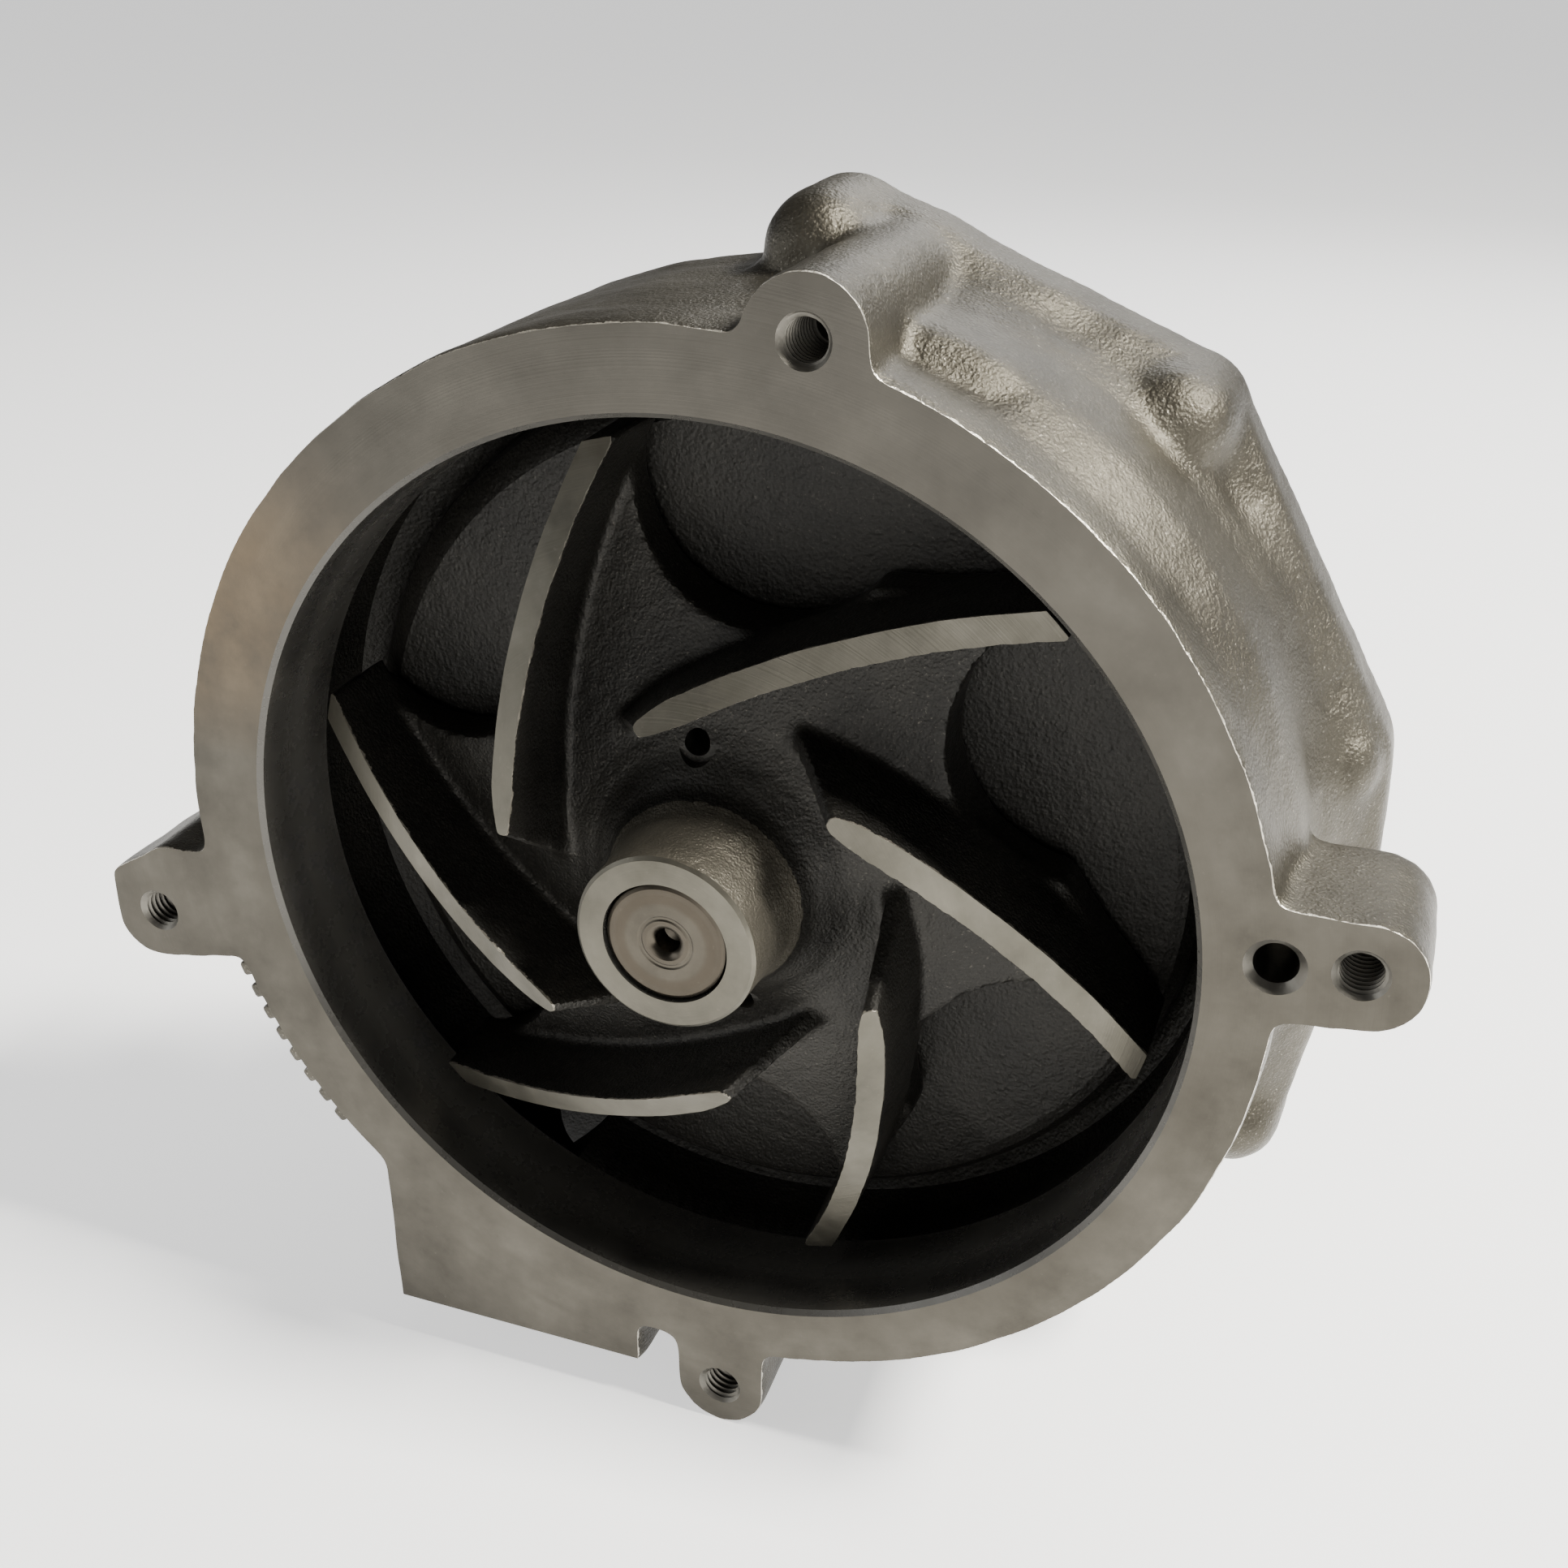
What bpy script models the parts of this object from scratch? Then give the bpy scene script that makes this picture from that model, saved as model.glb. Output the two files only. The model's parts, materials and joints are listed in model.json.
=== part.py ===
"""Heavy-duty engine coolant pump: volute casing, impeller, seal, bearings and belt pulley.

Metres, +Z up.  The origin is the bore centre in the plane of the machined front face.
The shaft runs along Y: the front face looks towards -Y and the pulley is at +Y.
"""
import math

import bmesh
import bpy
from mathutils import Matrix, Vector

# ---------------------------------------------------------------- driving sizes (metres)
FIT_GAP = 0.0003            # gap kept between pieces that touch

# front face and volute casing
BORE_RADIUS = 0.085
BORE_DEPTH = 0.020          # machined length of the bore
BORE_CHAMFER = 0.001
RING_RADIUS = 0.0978        # cast rim around the front face
RING_SHIFT = (-0.0012, 0.0012)
FLANGE_THICKNESS = 0.012
LAND_RADIUS = 0.0805        # flat wall behind the impeller
LAND_Y = 0.0335
SCROLL_START = math.radians(-117)
SCROLL_GROWTH = 0.0075      # the channel's outer wall moves out by this in one turn
SCROLL_FLOOR = (0.040, 0.050)
BODY_RADIUS = 0.0975        # cast wall behind the face
BODY_SHIFT = (-0.0008, 0.0024)
BODY_FRONT_Y = 0.005
CASING_DEPTH = 0.060
SHOULDER_RADIUS = 0.1035
SHOULDER_Y = (0.020, 0.052)
REAR_FLANGE_THICKNESS = 0.013
PILOT_RADIUS = 0.0385       # bearing housing's nose
RECESS = (0.046, 0.061, 0.043)      # inner radius, outer radius and floor of the rear recess

# tapped and plain holes in the front face
M8_RADIUS = 0.0035
M8_COUNTERSINK = 0.00435
M8_DEPTH = 0.018
DOWEL_RADIUS = 0.0035
DOWEL_COUNTERSINK = 0.00485
EAR_THICKNESS = 0.025
TOP_EAR = (0.0201, 0.0983)
LEFT_EAR = (-0.1127, -0.0223)
BOTTOM_EAR = (0.0037, -0.1066)
RIGHT_EAR = (0.1086, 0.0112)
DOWEL_HOLE = (0.0962, 0.0100)
REAR_BOSSES = [(0.0085, 0.1035), (0.0677, 0.0792), (0.0992, 0.0235), (0.0900, -0.0528)]
REAR_BOSS_RADIUS = 0.0095
REAR_TAP_RADIUS = 0.0042

# discharge foot
FOOT_LEFT = -0.0673
FOOT_RIGHT = -0.0137
FOOT_BOTTOM = -0.1055
OUTLET = (-0.0405, 0.036)   # x and y of the outlet's axis
OUTLET_RADIUS = 0.016
OUTLET_SEAL_RADIUS = 0.0195
OUTLET_SEAL_DEPTH = 0.0040
FLANK_PADS = 8

# impeller
VANES = 6
VANE_TIP_ANGLE = math.radians(103.9)
VANE_TIP_RADIUS = 0.0796
VANE_ARC_RADIUS = 0.1396    # radius of the vane's curve in plan
VANE_ARC_CENTRE = 0.1074    # distance of that curve's centre from the shaft
VANE_THICKNESS = 0.0044
VANE_ROOT_FRONT = 0.0352    # radius where the vane's front edge starts
VANE_ROOT_BACK = 0.0325     # radius where the vane leaves the plate
VANE_EDGE_CONE = (-0.0155, 0.354)   # front edge: y = first + second * radius
PLATE_CONE = (0.0085, 0.235)        # plate front: y = first + second * radius
PLATE_BACK_Y = 0.0315
HUB_FRONT_Y = -0.0108
HUB_RADIUS = 0.0160
SCALLOP_RADIUS = 0.0245
SCALLOP_CENTRE = 0.0697
SCALLOP_LAG = math.radians(18.4)
PULLER_RADIUS = 0.0027
PULLER_CIRCLE = 0.0255
PULLER_ANGLE = math.radians(98.5)

# shaft
SHAFT_FRONT_RADIUS = 0.01085
SHAFT_FRONT_Y = -0.0104
CENTRE_HOLE_RADIUS = 0.0022
CENTRE_HOLE_DEPTH = 0.006
JOURNAL_RADIUS = 0.0125
JOURNAL_START = 0.056
HUB_SEAT_RADIUS = 0.0115
SHAFT_END_Y = 0.152

# rolling bearings, both the same
BEARING_RADIUS = 0.031
BEARING_WIDTH = 0.017
BEARING_FRONT_Y = 0.0763
BEARING_REAR_Y = 0.1047
BALL_COUNT = 7
BALL_RADIUS = 0.0052
BALL_CIRCLE = 0.02175
BALL_CLEARANCE = 0.0006
RING_WALL = 0.0050

# mechanical seal
SEAL_POCKET_RADIUS = 0.0192
SEAL_POCKET_Y = 0.0262
SEAL_SEAT_INNER = 0.0135
SEAL_FACE_INNER = 0.0142
SEAL_FACE_OUTER = 0.0172
SEAL_FACE_LENGTH = 0.0040
SEAL_BORE_RADIUS = 0.0220
SEAL_CUP_REAR = 0.0505
SEAL_WALL = 0.0012
SEAL_TRAVEL = 0.0010         # how far the carbon ring can be pushed back
SPRING_WIRE = 0.0007
SPRING_TURNS = 3

FLINGER_Y = 0.0655
FLINGER_RADIUS = 0.023

# bearing housing
HOUSING_NOSE_Y = 0.0358
HOUSING_FLANGE_RADIUS = 0.079
HOUSING_FLANGE_THICKNESS = 0.009
HOUSING_NECK_RADIUS = BEARING_RADIUS + 0.0075
HOUSING_END_Y = 0.1318
COVER_BOLTS = 6
COVER_BOLT_CIRCLE = 0.0705
COVER_BOLT_RADIUS = 0.004
GASKET_THICKNESS = 0.0008
NECK_RIBS = 4
WEEP_RADIUS = 0.003

# pulley and its hub
HUB_FLANGE_RADIUS = 0.036
HUB_FLANGE_THICKNESS = 0.007
HUB_FLANGE_Y = 0.1372
HUB_BARREL_RADIUS = 0.0195
PULLEY_RADIUS = 0.072
PULLEY_RIM = 0.0075
PULLEY_RIBS = 6
RIB_PITCH = 0.00356
RIB_DEPTH = 0.0028
PULLEY_FLANGE = 0.003
PULLEY_WEB = 0.005
PULLEY_BOLTS = 4
PULLEY_BOLT_CIRCLE = 0.028
PULLEY_BOLT_RADIUS = 0.003
PULLEY_WINDOW_RADIUS = 0.0085
PULLEY_WINDOW_CIRCLE = 0.050

# derived places
REAR_PLANE_Y = CASING_DEPTH
GASKET_Y = REAR_PLANE_Y + FIT_GAP
HOUSING_FLANGE_Y = GASKET_Y + GASKET_THICKNESS + FIT_GAP
COVER_BOLT_HEAD_Y = HOUSING_FLANGE_Y + HOUSING_FLANGE_THICKNESS + FIT_GAP
SEAL_SEAT_Y = SEAL_POCKET_Y + FIT_GAP
SEAL_SEAT_REAR = PLATE_BACK_Y + 0.0005
SEAL_FACE_Y = SEAL_SEAT_REAR + FIT_GAP
BEARING_BORE = BEARING_RADIUS + FIT_GAP
PULLEY_WEB_Y = HUB_FLANGE_Y + HUB_FLANGE_THICKNESS + FIT_GAP
PULLEY_WIDTH = PULLEY_RIBS * RIB_PITCH + 2 * PULLEY_FLANGE


# ---------------------------------------------------------------- scene and materials
def clear_scene():
    for item in list(bpy.data.objects):
        bpy.data.objects.remove(item, do_unlink=True)


def make_material(name, colour, roughness, metallic):
    material = bpy.data.materials.new(name)
    material.use_nodes = True
    shader = material.node_tree.nodes["Principled BSDF"]
    shader.inputs["Base Color"].default_value = (*colour, 1.0)
    shader.inputs["Roughness"].default_value = roughness
    shader.inputs["Metallic"].default_value = metallic
    return material


def add_object(name, mesh, material=None, smooth=True):
    item = bpy.data.objects.new(name, mesh)
    bpy.context.scene.collection.objects.link(item)
    if material is not None:
        mesh.materials.clear()
        mesh.materials.append(material)
    if smooth:
        mesh.shade_smooth()
        mesh.set_sharp_from_angle(angle=math.radians(35))
    return item


def mesh_from(bm, name):
    bmesh.ops.recalc_face_normals(bm, faces=bm.faces)
    mesh = bpy.data.meshes.new(name)
    bm.to_mesh(mesh)
    bm.free()
    return mesh


# ---------------------------------------------------------------- shapes
def arc(centre, radius, start, end, steps):
    """Points on an arc in the XZ plane, angles in radians."""
    points = []
    for i in range(steps + 1):
        angle = start + (end - start) * i / steps
        points.append((centre[0] + radius * math.cos(angle), centre[1] + radius * math.sin(angle)))
    return points


def rounded(before, corner, after, radius, steps=3):
    """Fillet of a corner between two straight runs."""
    p = Vector(corner)
    to_before = (Vector(before) - p).normalized()
    to_after = (Vector(after) - p).normalized()
    half = to_before.angle(to_after) / 2
    reach = radius / math.tan(half)
    centre = p + (to_before + to_after).normalized() * (radius / math.sin(half))
    first = p + to_before * reach - centre
    last = p + to_after * reach - centre
    points = []
    for i in range(steps + 1):
        spoke = first.lerp(last, i / steps).normalized() * radius
        points.append(tuple(centre + spoke))
    return points


def prism(name, outline, y0, y1):
    """Extrude an XZ outline along Y."""
    bm = bmesh.new()
    face = bm.faces.new([bm.verts.new((x, y0, z)) for x, z in outline])
    extruded = bmesh.ops.extrude_face_region(bm, geom=[face])
    moved = [item for item in extruded["geom"] if isinstance(item, bmesh.types.BMVert)]
    bmesh.ops.translate(bm, verts=moved, vec=(0, y1 - y0, 0))
    return mesh_from(bm, name)


def turned(name, profile, steps, closed=True):
    """Spin a (radius, y) profile about the Y axis.  A closed profile stays off the axis."""
    bm = bmesh.new()
    verts = [bm.verts.new((r, y, 0)) for r, y in profile]
    edges = [bm.edges.new(pair) for pair in zip(verts, verts[1:])]
    if closed:
        edges.append(bm.edges.new((verts[-1], verts[0])))
    bmesh.ops.spin(bm, geom=verts + edges, cent=(0, 0, 0), axis=(0, 1, 0),
                   angle=math.tau, steps=steps, use_merge=True)
    bmesh.ops.remove_doubles(bm, verts=bm.verts, dist=0.000001)
    return mesh_from(bm, name)


def rod(name, radius, y0, y1, steps=16):
    return turned(name, [(0, y0), (radius, y0), (radius, y1), (0, y1)], steps, closed=False)


def moved_mesh(mesh, matrix):
    mesh.transform(matrix)
    return mesh


def place(mesh, x, z):
    return moved_mesh(mesh, Matrix.Translation((x, 0, z)))


def around(radius, angle):
    return radius * math.cos(angle), radius * math.sin(angle)


# ---------------------------------------------------------------- booleans
def combine(target, tool_mesh, operation):
    """Apply one exact Boolean to target and drop the tool."""
    tool = bpy.data.objects.new("tool", tool_mesh)
    bpy.context.scene.collection.objects.link(tool)
    tool.hide_render = True
    tool.display_type = "WIRE"
    modifier = target.modifiers.new("combine", "BOOLEAN")
    modifier.operation = operation
    modifier.solver = "EXACT"
    modifier.object = tool
    bpy.context.view_layer.update()
    graph = bpy.context.evaluated_depsgraph_get()
    result = bpy.data.meshes.new_from_object(target.evaluated_get(graph))
    target.modifiers.clear()
    target.data = result
    bpy.data.objects.remove(tool, do_unlink=True)


def cut(target, *tool_meshes):
    for mesh in tool_meshes:
        combine(target, mesh, "DIFFERENCE")


def fuse(target, *tool_meshes):
    for mesh in tool_meshes:
        combine(target, mesh, "UNION")


def clean(target, distance=0.00002):
    """Weld what the Booleans left and flatten needless edges."""
    bm = bmesh.new()
    bm.from_mesh(target.data)
    bmesh.ops.remove_doubles(bm, verts=bm.verts, dist=distance)
    bmesh.ops.dissolve_degenerate(bm, dist=0.000005, edges=bm.edges)
    bmesh.ops.triangulate(bm, faces=bm.faces)
    bm.to_mesh(target.data)
    bm.free()
    target.data.shade_smooth()
    target.data.set_sharp_from_angle(angle=math.radians(35))


# ---------------------------------------------------------------- volute casing
def scroll_radius(angle):
    """Channel's outer radius: it grows anticlockwise, seen from the front."""
    turn = ((angle - SCROLL_START) % math.tau) / math.tau
    return BORE_RADIUS + SCROLL_GROWTH * turn


def scroll_floor(angle):
    turn = ((angle - SCROLL_START) % math.tau) / math.tau
    return SCROLL_FLOOR[0] + (SCROLL_FLOOR[1] - SCROLL_FLOOR[0]) * turn


def scroll_angles(count=48):
    return [SCROLL_START + math.tau * (i + 0.01) / count for i in range(count)]


def boss_outline(centre, radius, start, end, steps=7):
    return arc(centre, radius, math.radians(start), math.radians(end), steps)


def face_outline():
    """Outline of the machined front face, anticlockwise from the right ear."""
    ring = RING_RADIUS
    points = []
    right_top = (0.1180, RIGHT_EAR[1] + 0.0092)
    right_low = (0.1183, RIGHT_EAR[1] - 0.0092)
    root_low = (0.0968, -0.0006)
    root_top = (0.0957, 0.0189)
    points += rounded(arc(RING_SHIFT, ring, math.radians(-3), math.radians(-3), 1)[0],
                      root_low, right_low, 0.0025)
    points += rounded(root_low, right_low, right_top, 0.0085, 5)
    points += rounded(right_low, right_top, root_top, 0.0085, 5)
    points += rounded(right_top, root_top, (0.0925, 0.0300), 0.0045)
    points += arc(RING_SHIFT, ring, math.radians(17.5), math.radians(66), 12)
    points += rounded((0.0360, 0.0922), (0.0302, 0.0945), (0.0301, 0.0990), 0.0035, 3)
    points += boss_outline(TOP_EAR, 0.0098, 2, 158, 8)
    points += rounded((0.0112, 0.1012), (0.0084, 0.0993), (0.0030, 0.0991), 0.0020, 2)
    points += arc(RING_SHIFT, ring, math.radians(89), math.radians(182.5), 20)
    points += rounded((-0.0990, -0.0020), (-0.0988, -0.0066), (-0.1105, -0.0079), 0.0015, 2)
    points += rounded((-0.0988, -0.0066), (-0.1108, -0.0080), (-0.1222, -0.0147), 0.0060, 2)
    points += rounded((-0.1108, -0.0080), (-0.1222, -0.0147), (-0.1214, -0.0320), 0.0015, 2)
    points += rounded((-0.1222, -0.0147), (-0.1213, -0.0318), (-0.0960, -0.0281), 0.0080, 4)
    points += [(-0.0945, -0.0279)]
    points += arc(RING_SHIFT, ring, math.radians(199.5), math.radians(221), 5)
    points += rounded((-0.0723, -0.0660), (FOOT_LEFT, -0.0735), (FOOT_LEFT, -0.0950), 0.0060)
    low = FOOT_BOTTOM - 0.0015
    points += [(FOOT_LEFT, low), (FOOT_RIGHT, low)]
    points += rounded((FOOT_RIGHT, low), (FOOT_RIGHT, -0.0979), (-0.0062, -0.0992), 0.0022)
    points += rounded((FOOT_RIGHT, -0.0979), (-0.0055, -0.0995), (-0.0049, -0.1066), 0.0012, 2)
    points += boss_outline(BOTTOM_EAR, 0.0086, 180, 357, 9)
    points += rounded((0.0122, -0.1040), (0.0123, -0.0975), (0.0170, -0.0960), 0.0018, 2)
    points += arc(RING_SHIFT, ring, math.radians(280), math.radians(356.5), 17)
    return points


def body_outline():
    """Cast outer wall of the volute."""
    return arc(BODY_SHIFT, BODY_RADIUS, math.radians(2), math.radians(362), 48)[:-1]


def rear_outline():
    """Rear flange: straight runs between the corner bosses, round on the other side."""
    boss = REAR_BOSS_RADIUS
    top, upper, right, low = REAR_BOSSES
    points = []
    points += arc(low, boss, math.radians(-75), math.radians(2), 3)
    points += [(0.1090, 0.0040)]
    points += arc(right, boss, math.radians(5), math.radians(32), 2)
    points += arc(upper, boss, math.radians(30), math.radians(62), 3)
    points += [(0.0335, 0.1032), (0.0245, 0.1078)]
    points += arc(top, boss, math.radians(60), math.radians(140), 4)
    points += [(-0.0010, 0.0995)]
    points += arc((0, 0), 0.0995, math.radians(94), math.radians(290), 24)
    return points


def shoulder_outline():
    """Raised shoulder on the side away from the outlet."""
    start = math.radians(-40)
    end = math.radians(72)
    inner = arc((0, 0), 0.086, end, start, 8)
    return arc((0, 0), SHOULDER_RADIUS, start, end, 16) + inner


def bevelled(mesh, width, segments, y_side):
    """Round the edge loop of a prism's end face at y_side."""
    bm = bmesh.new()
    bm.from_mesh(mesh)
    edges = []
    for edge in bm.edges:
        ys = [vert.co.y for vert in edge.verts]
        if all(abs(y - y_side) < 0.00001 for y in ys):
            edges.append(edge)
    bmesh.ops.bevel(bm, geom=edges, offset=width, offset_type="OFFSET", segments=segments,
                    affect="EDGES", profile=0.5, material=-1, clamp_overlap=True)
    bm.to_mesh(mesh)
    bm.free()
    return mesh


def scroll_channel(name):
    """Ring-shaped cutter whose outer wall and floor follow the scroll."""
    bm = bmesh.new()
    loops = []
    angles = scroll_angles()
    for kind in ("inner_front", "outer_front", "outer_floor", "inner_floor"):
        loop = []
        for angle in angles:
            inner = kind.startswith("inner")
            radius = LAND_RADIUS if inner else scroll_radius(angle)
            y = BORE_DEPTH if kind.endswith("front") else scroll_floor(angle)
            if kind == "outer_floor":
                radius -= 0.0035
            x, z = around(radius, angle)
            loop.append(bm.verts.new((x, y, z)))
        loops.append(loop)
    shelf = []
    for angle in angles:
        x, z = around(scroll_radius(angle), angle)
        shelf.append(bm.verts.new((x, scroll_floor(angle) - 0.0045, z)))
    rings = [loops[0], loops[1], shelf, loops[2], loops[3]]
    count = len(angles)
    for a, b in zip(rings, rings[1:] + rings[:1]):
        for i in range(count):
            j = (i + 1) % count
            bm.faces.new((a[i], a[j], b[j], b[i]))
    return mesh_from(bm, name)


def drilled(name, radius, countersink, depth, y0, direction, steps=14):
    """Cutter of a countersunk hole whose mouth is at y0 and which runs along direction."""
    flare = countersink - radius
    run = [(0, -0.001), (countersink + 0.001, -0.001), (radius, flare), (radius, depth),
           (0, depth + radius * 0.5)]
    profile = [(r, y0 + direction * y) for r, y in run]
    return turned(name, profile, steps, closed=False)


def make_pump_housing(material):
    flange = prism("flange", face_outline(), 0.0, FLANGE_THICKNESS)
    housing = add_object("pump_housing", flange, material)
    body = bevelled(prism("body", body_outline(), BODY_FRONT_Y, REAR_PLANE_Y - 0.0005),
                    0.0030, 2, BODY_FRONT_Y)
    shoulder = bevelled(prism("shoulder", shoulder_outline(), *SHOULDER_Y), 0.0060, 3, SHOULDER_Y[0])
    rear = prism("rear", rear_outline(), REAR_PLANE_Y - REAR_FLANGE_THICKNESS, REAR_PLANE_Y)
    rear = bevelled(rear, 0.0030, 2, REAR_PLANE_Y - REAR_FLANGE_THICKNESS)
    fuse(housing, body, shoulder, rear)
    fuse(housing, *casing_bosses())
    low = FOOT_BOTTOM - 0.0010
    foot_outline = [(FOOT_LEFT - 0.0020, -0.0640), (FOOT_LEFT + 0.0003, low),
                    (FOOT_RIGHT - 0.0003, low), (FOOT_RIGHT - 0.0003, -0.0900)]
    fuse(housing, prism("foot", foot_outline, BODY_FRONT_Y, REAR_PLANE_Y - 0.0010))
    foot_plane = [(FOOT_LEFT - 0.010, FOOT_BOTTOM), (FOOT_LEFT - 0.010, FOOT_BOTTOM - 0.010),
                  (FOOT_RIGHT + 0.0022, FOOT_BOTTOM - 0.010), (FOOT_RIGHT + 0.0022, FOOT_BOTTOM)]
    cut(housing, prism("foot_plane", foot_plane, -0.010, REAR_PLANE_Y + 0.010))
    fuse(housing, *flank_pads())
    cut(housing, turned("chamber", [(0, -0.002), (BORE_RADIUS + BORE_CHAMFER + 0.002, -0.002),
                                    (BORE_RADIUS, BORE_CHAMFER), (BORE_RADIUS, BORE_DEPTH + 0.001),
                                    (BORE_RADIUS, LAND_Y), (0, LAND_Y)], 64, closed=False))
    cut(housing, scroll_channel("channel"))
    cut(housing, rod("pilot", PILOT_RADIUS + FIT_GAP, 0.030, REAR_PLANE_Y + 0.005, 32))
    cut(housing, turned("recess", [(RECESS[0], RECESS[2]), (RECESS[1], RECESS[2]),
                                   (RECESS[1], REAR_PLANE_Y + 0.005),
                                   (RECESS[0], REAR_PLANE_Y + 0.005)], 32))
    for centre in (TOP_EAR, LEFT_EAR, BOTTOM_EAR, RIGHT_EAR):
        cut(housing, place(drilled("tap", M8_RADIUS, M8_COUNTERSINK, M8_DEPTH, 0, 1), *centre))
    cut(housing, place(drilled("dowel", DOWEL_RADIUS, DOWEL_COUNTERSINK, M8_DEPTH, 0, 1), *DOWEL_HOLE))
    for centre in REAR_BOSSES:
        cut(housing, place(drilled("rear_tap", REAR_TAP_RADIUS, REAR_TAP_RADIUS + 0.0008, 0.016,
                                   REAR_PLANE_Y, -1, 10), *centre))
    for angle in cover_bolt_angles():
        hole = drilled("cover_tap", COVER_BOLT_RADIUS + FIT_GAP, COVER_BOLT_RADIUS + FIT_GAP, 0.0155,
                       REAR_PLANE_Y, -1, 10)
        cut(housing, place(hole, *around(COVER_BOLT_CIRCLE, angle)))
    cut(housing, outlet_cutter())
    clean(housing)
    return housing


def casing_bosses():
    """Ears run back into the casting, and domed bosses stand before the rear flange."""
    top = prism("top_boss", arc(TOP_EAR, 0.0097, 0, math.tau, 16)[:-1], 0.010, REAR_PLANE_Y - 0.001)
    bridge = prism("top_root", [(0.0110, 0.085), (0.0290, 0.085), (0.0297, 0.0985), (0.0108, 0.0985)],
                   0.010, REAR_PLANE_Y - 0.001)
    bosses = [top, bridge]
    right = [(0.0850, RIGHT_EAR[1] - 0.0088), (RIGHT_EAR[0], RIGHT_EAR[1] - 0.0090)]
    right += arc(RIGHT_EAR, 0.0090, math.radians(-80), math.radians(80), 8)
    right += [(RIGHT_EAR[0], RIGHT_EAR[1] + 0.0086), (0.0850, RIGHT_EAR[1] + 0.0080)]
    bosses.append(bevelled(prism("right_boss", right, 0.010, EAR_THICKNESS), 0.003, 2, EAR_THICKNESS))
    left = [(-0.0900, -0.0285), (-0.0900, -0.0090), (-0.1106, -0.0086)]
    left += arc(LEFT_EAR, 0.0088, math.radians(130), math.radians(270), 7)
    left = list(reversed(left))
    bosses.append(bevelled(prism("left_boss", left, 0.010, EAR_THICKNESS), 0.003, 2, EAR_THICKNESS))
    bottom = [(0.0118, -0.0900), (-0.0045, -0.0900)]
    bottom += arc(BOTTOM_EAR, 0.0083, math.pi, math.tau, 8)
    bosses.append(bevelled(prism("bottom_boss", bottom, 0.010, EAR_THICKNESS), 0.003, 2, EAR_THICKNESS))
    for centre in REAR_BOSSES:
        reach = 0.0360 if centre is REAR_BOSSES[0] else 0.0400
        dome = [(0, reach), (0.0050, reach + 0.0012), (0.0084, reach + 0.0048), (0.0096, reach + 0.0100),
                (0.0096, REAR_PLANE_Y - 0.002), (0, REAR_PLANE_Y - 0.002)]
        bosses.append(place(turned("dome", dome, 12, closed=False), *centre))
    return bosses


def flank_pads():
    """A row of small plain raised pads on the rim above the foot."""
    pads = []
    pitch = math.radians(2.9)
    for i in range(FLANK_PADS):
        angle = math.radians(-140.0) - pitch * i
        half = RING_RADIUS * pitch * 0.30
        bm = bmesh.new()
        bmesh.ops.create_cube(bm, size=1.0)
        bmesh.ops.scale(bm, verts=bm.verts, vec=(0.0030, 0.0070, 2 * half))
        bmesh.ops.bevel(bm, geom=bm.edges[:], offset=0.0006, segments=1, affect="EDGES",
                        profile=0.5, material=-1)
        bmesh.ops.translate(bm, verts=bm.verts, vec=(RING_RADIUS, 0.0046, 0))
        bmesh.ops.rotate(bm, verts=bm.verts, cent=(0, 0, 0), matrix=Matrix.Rotation(-angle, 3, "Y"))
        bmesh.ops.translate(bm, verts=bm.verts, vec=(RING_SHIFT[0], 0, RING_SHIFT[1]))
        pads.append(mesh_from(bm, "pad"))
    return pads


def outlet_cutter():
    """Discharge bore, up through the foot into the channel, with its seal seat."""
    seat = OUTLET_SEAL_RADIUS + FIT_GAP
    profile = [(0, 0.001), (seat, 0.001), (seat, -OUTLET_SEAL_DEPTH),
               (OUTLET_RADIUS, -OUTLET_SEAL_DEPTH), (OUTLET_RADIUS, -0.0290), (0, -0.0290)]
    cutter = turned("outlet", profile, 24, closed=False)
    turn = Matrix.Rotation(math.radians(-90), 4, "X")
    shift = Matrix.Translation((OUTLET[0], OUTLET[1], FOOT_BOTTOM))
    return moved_mesh(cutter, shift @ turn)


def make_outlet_seal(material):
    """Rubber ring that sits in the foot's counterbore."""
    inner = OUTLET_RADIUS + FIT_GAP
    outer = OUTLET_SEAL_RADIUS
    low = 0.0004
    high = OUTLET_SEAL_DEPTH - FIT_GAP
    edge = 0.0008
    profile = [(inner, low + edge), (inner, high - edge), (inner + edge, high), (outer - edge, high),
               (outer, high - edge), (outer, low + edge), (outer - edge, low), (inner + edge, low)]
    ring = turned("outlet_seal_ring", [(r, -y) for r, y in profile], 24)
    turn = Matrix.Rotation(math.radians(-90), 4, "X")
    moved_mesh(ring, turn)
    item = add_object("outlet_seal_ring", ring, material)
    item.location = (OUTLET[0], OUTLET[1], FOOT_BOTTOM)
    return item


# ---------------------------------------------------------------- impeller
def vane_angle(radius, tip_angle):
    """Angle of the vane's middle line at a radius."""
    centre_angle = vane_centre_angle(tip_angle)
    side = (radius ** 2 + VANE_ARC_CENTRE ** 2 - VANE_ARC_RADIUS ** 2) / (2 * radius * VANE_ARC_CENTRE)
    return centre_angle + math.acos(max(-1.0, min(1.0, side)))


def vane_centre_angle(tip_angle):
    side = (VANE_TIP_RADIUS ** 2 + VANE_ARC_CENTRE ** 2 - VANE_ARC_RADIUS ** 2)
    side /= 2 * VANE_TIP_RADIUS * VANE_ARC_CENTRE
    return tip_angle - math.acos(side)


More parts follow.
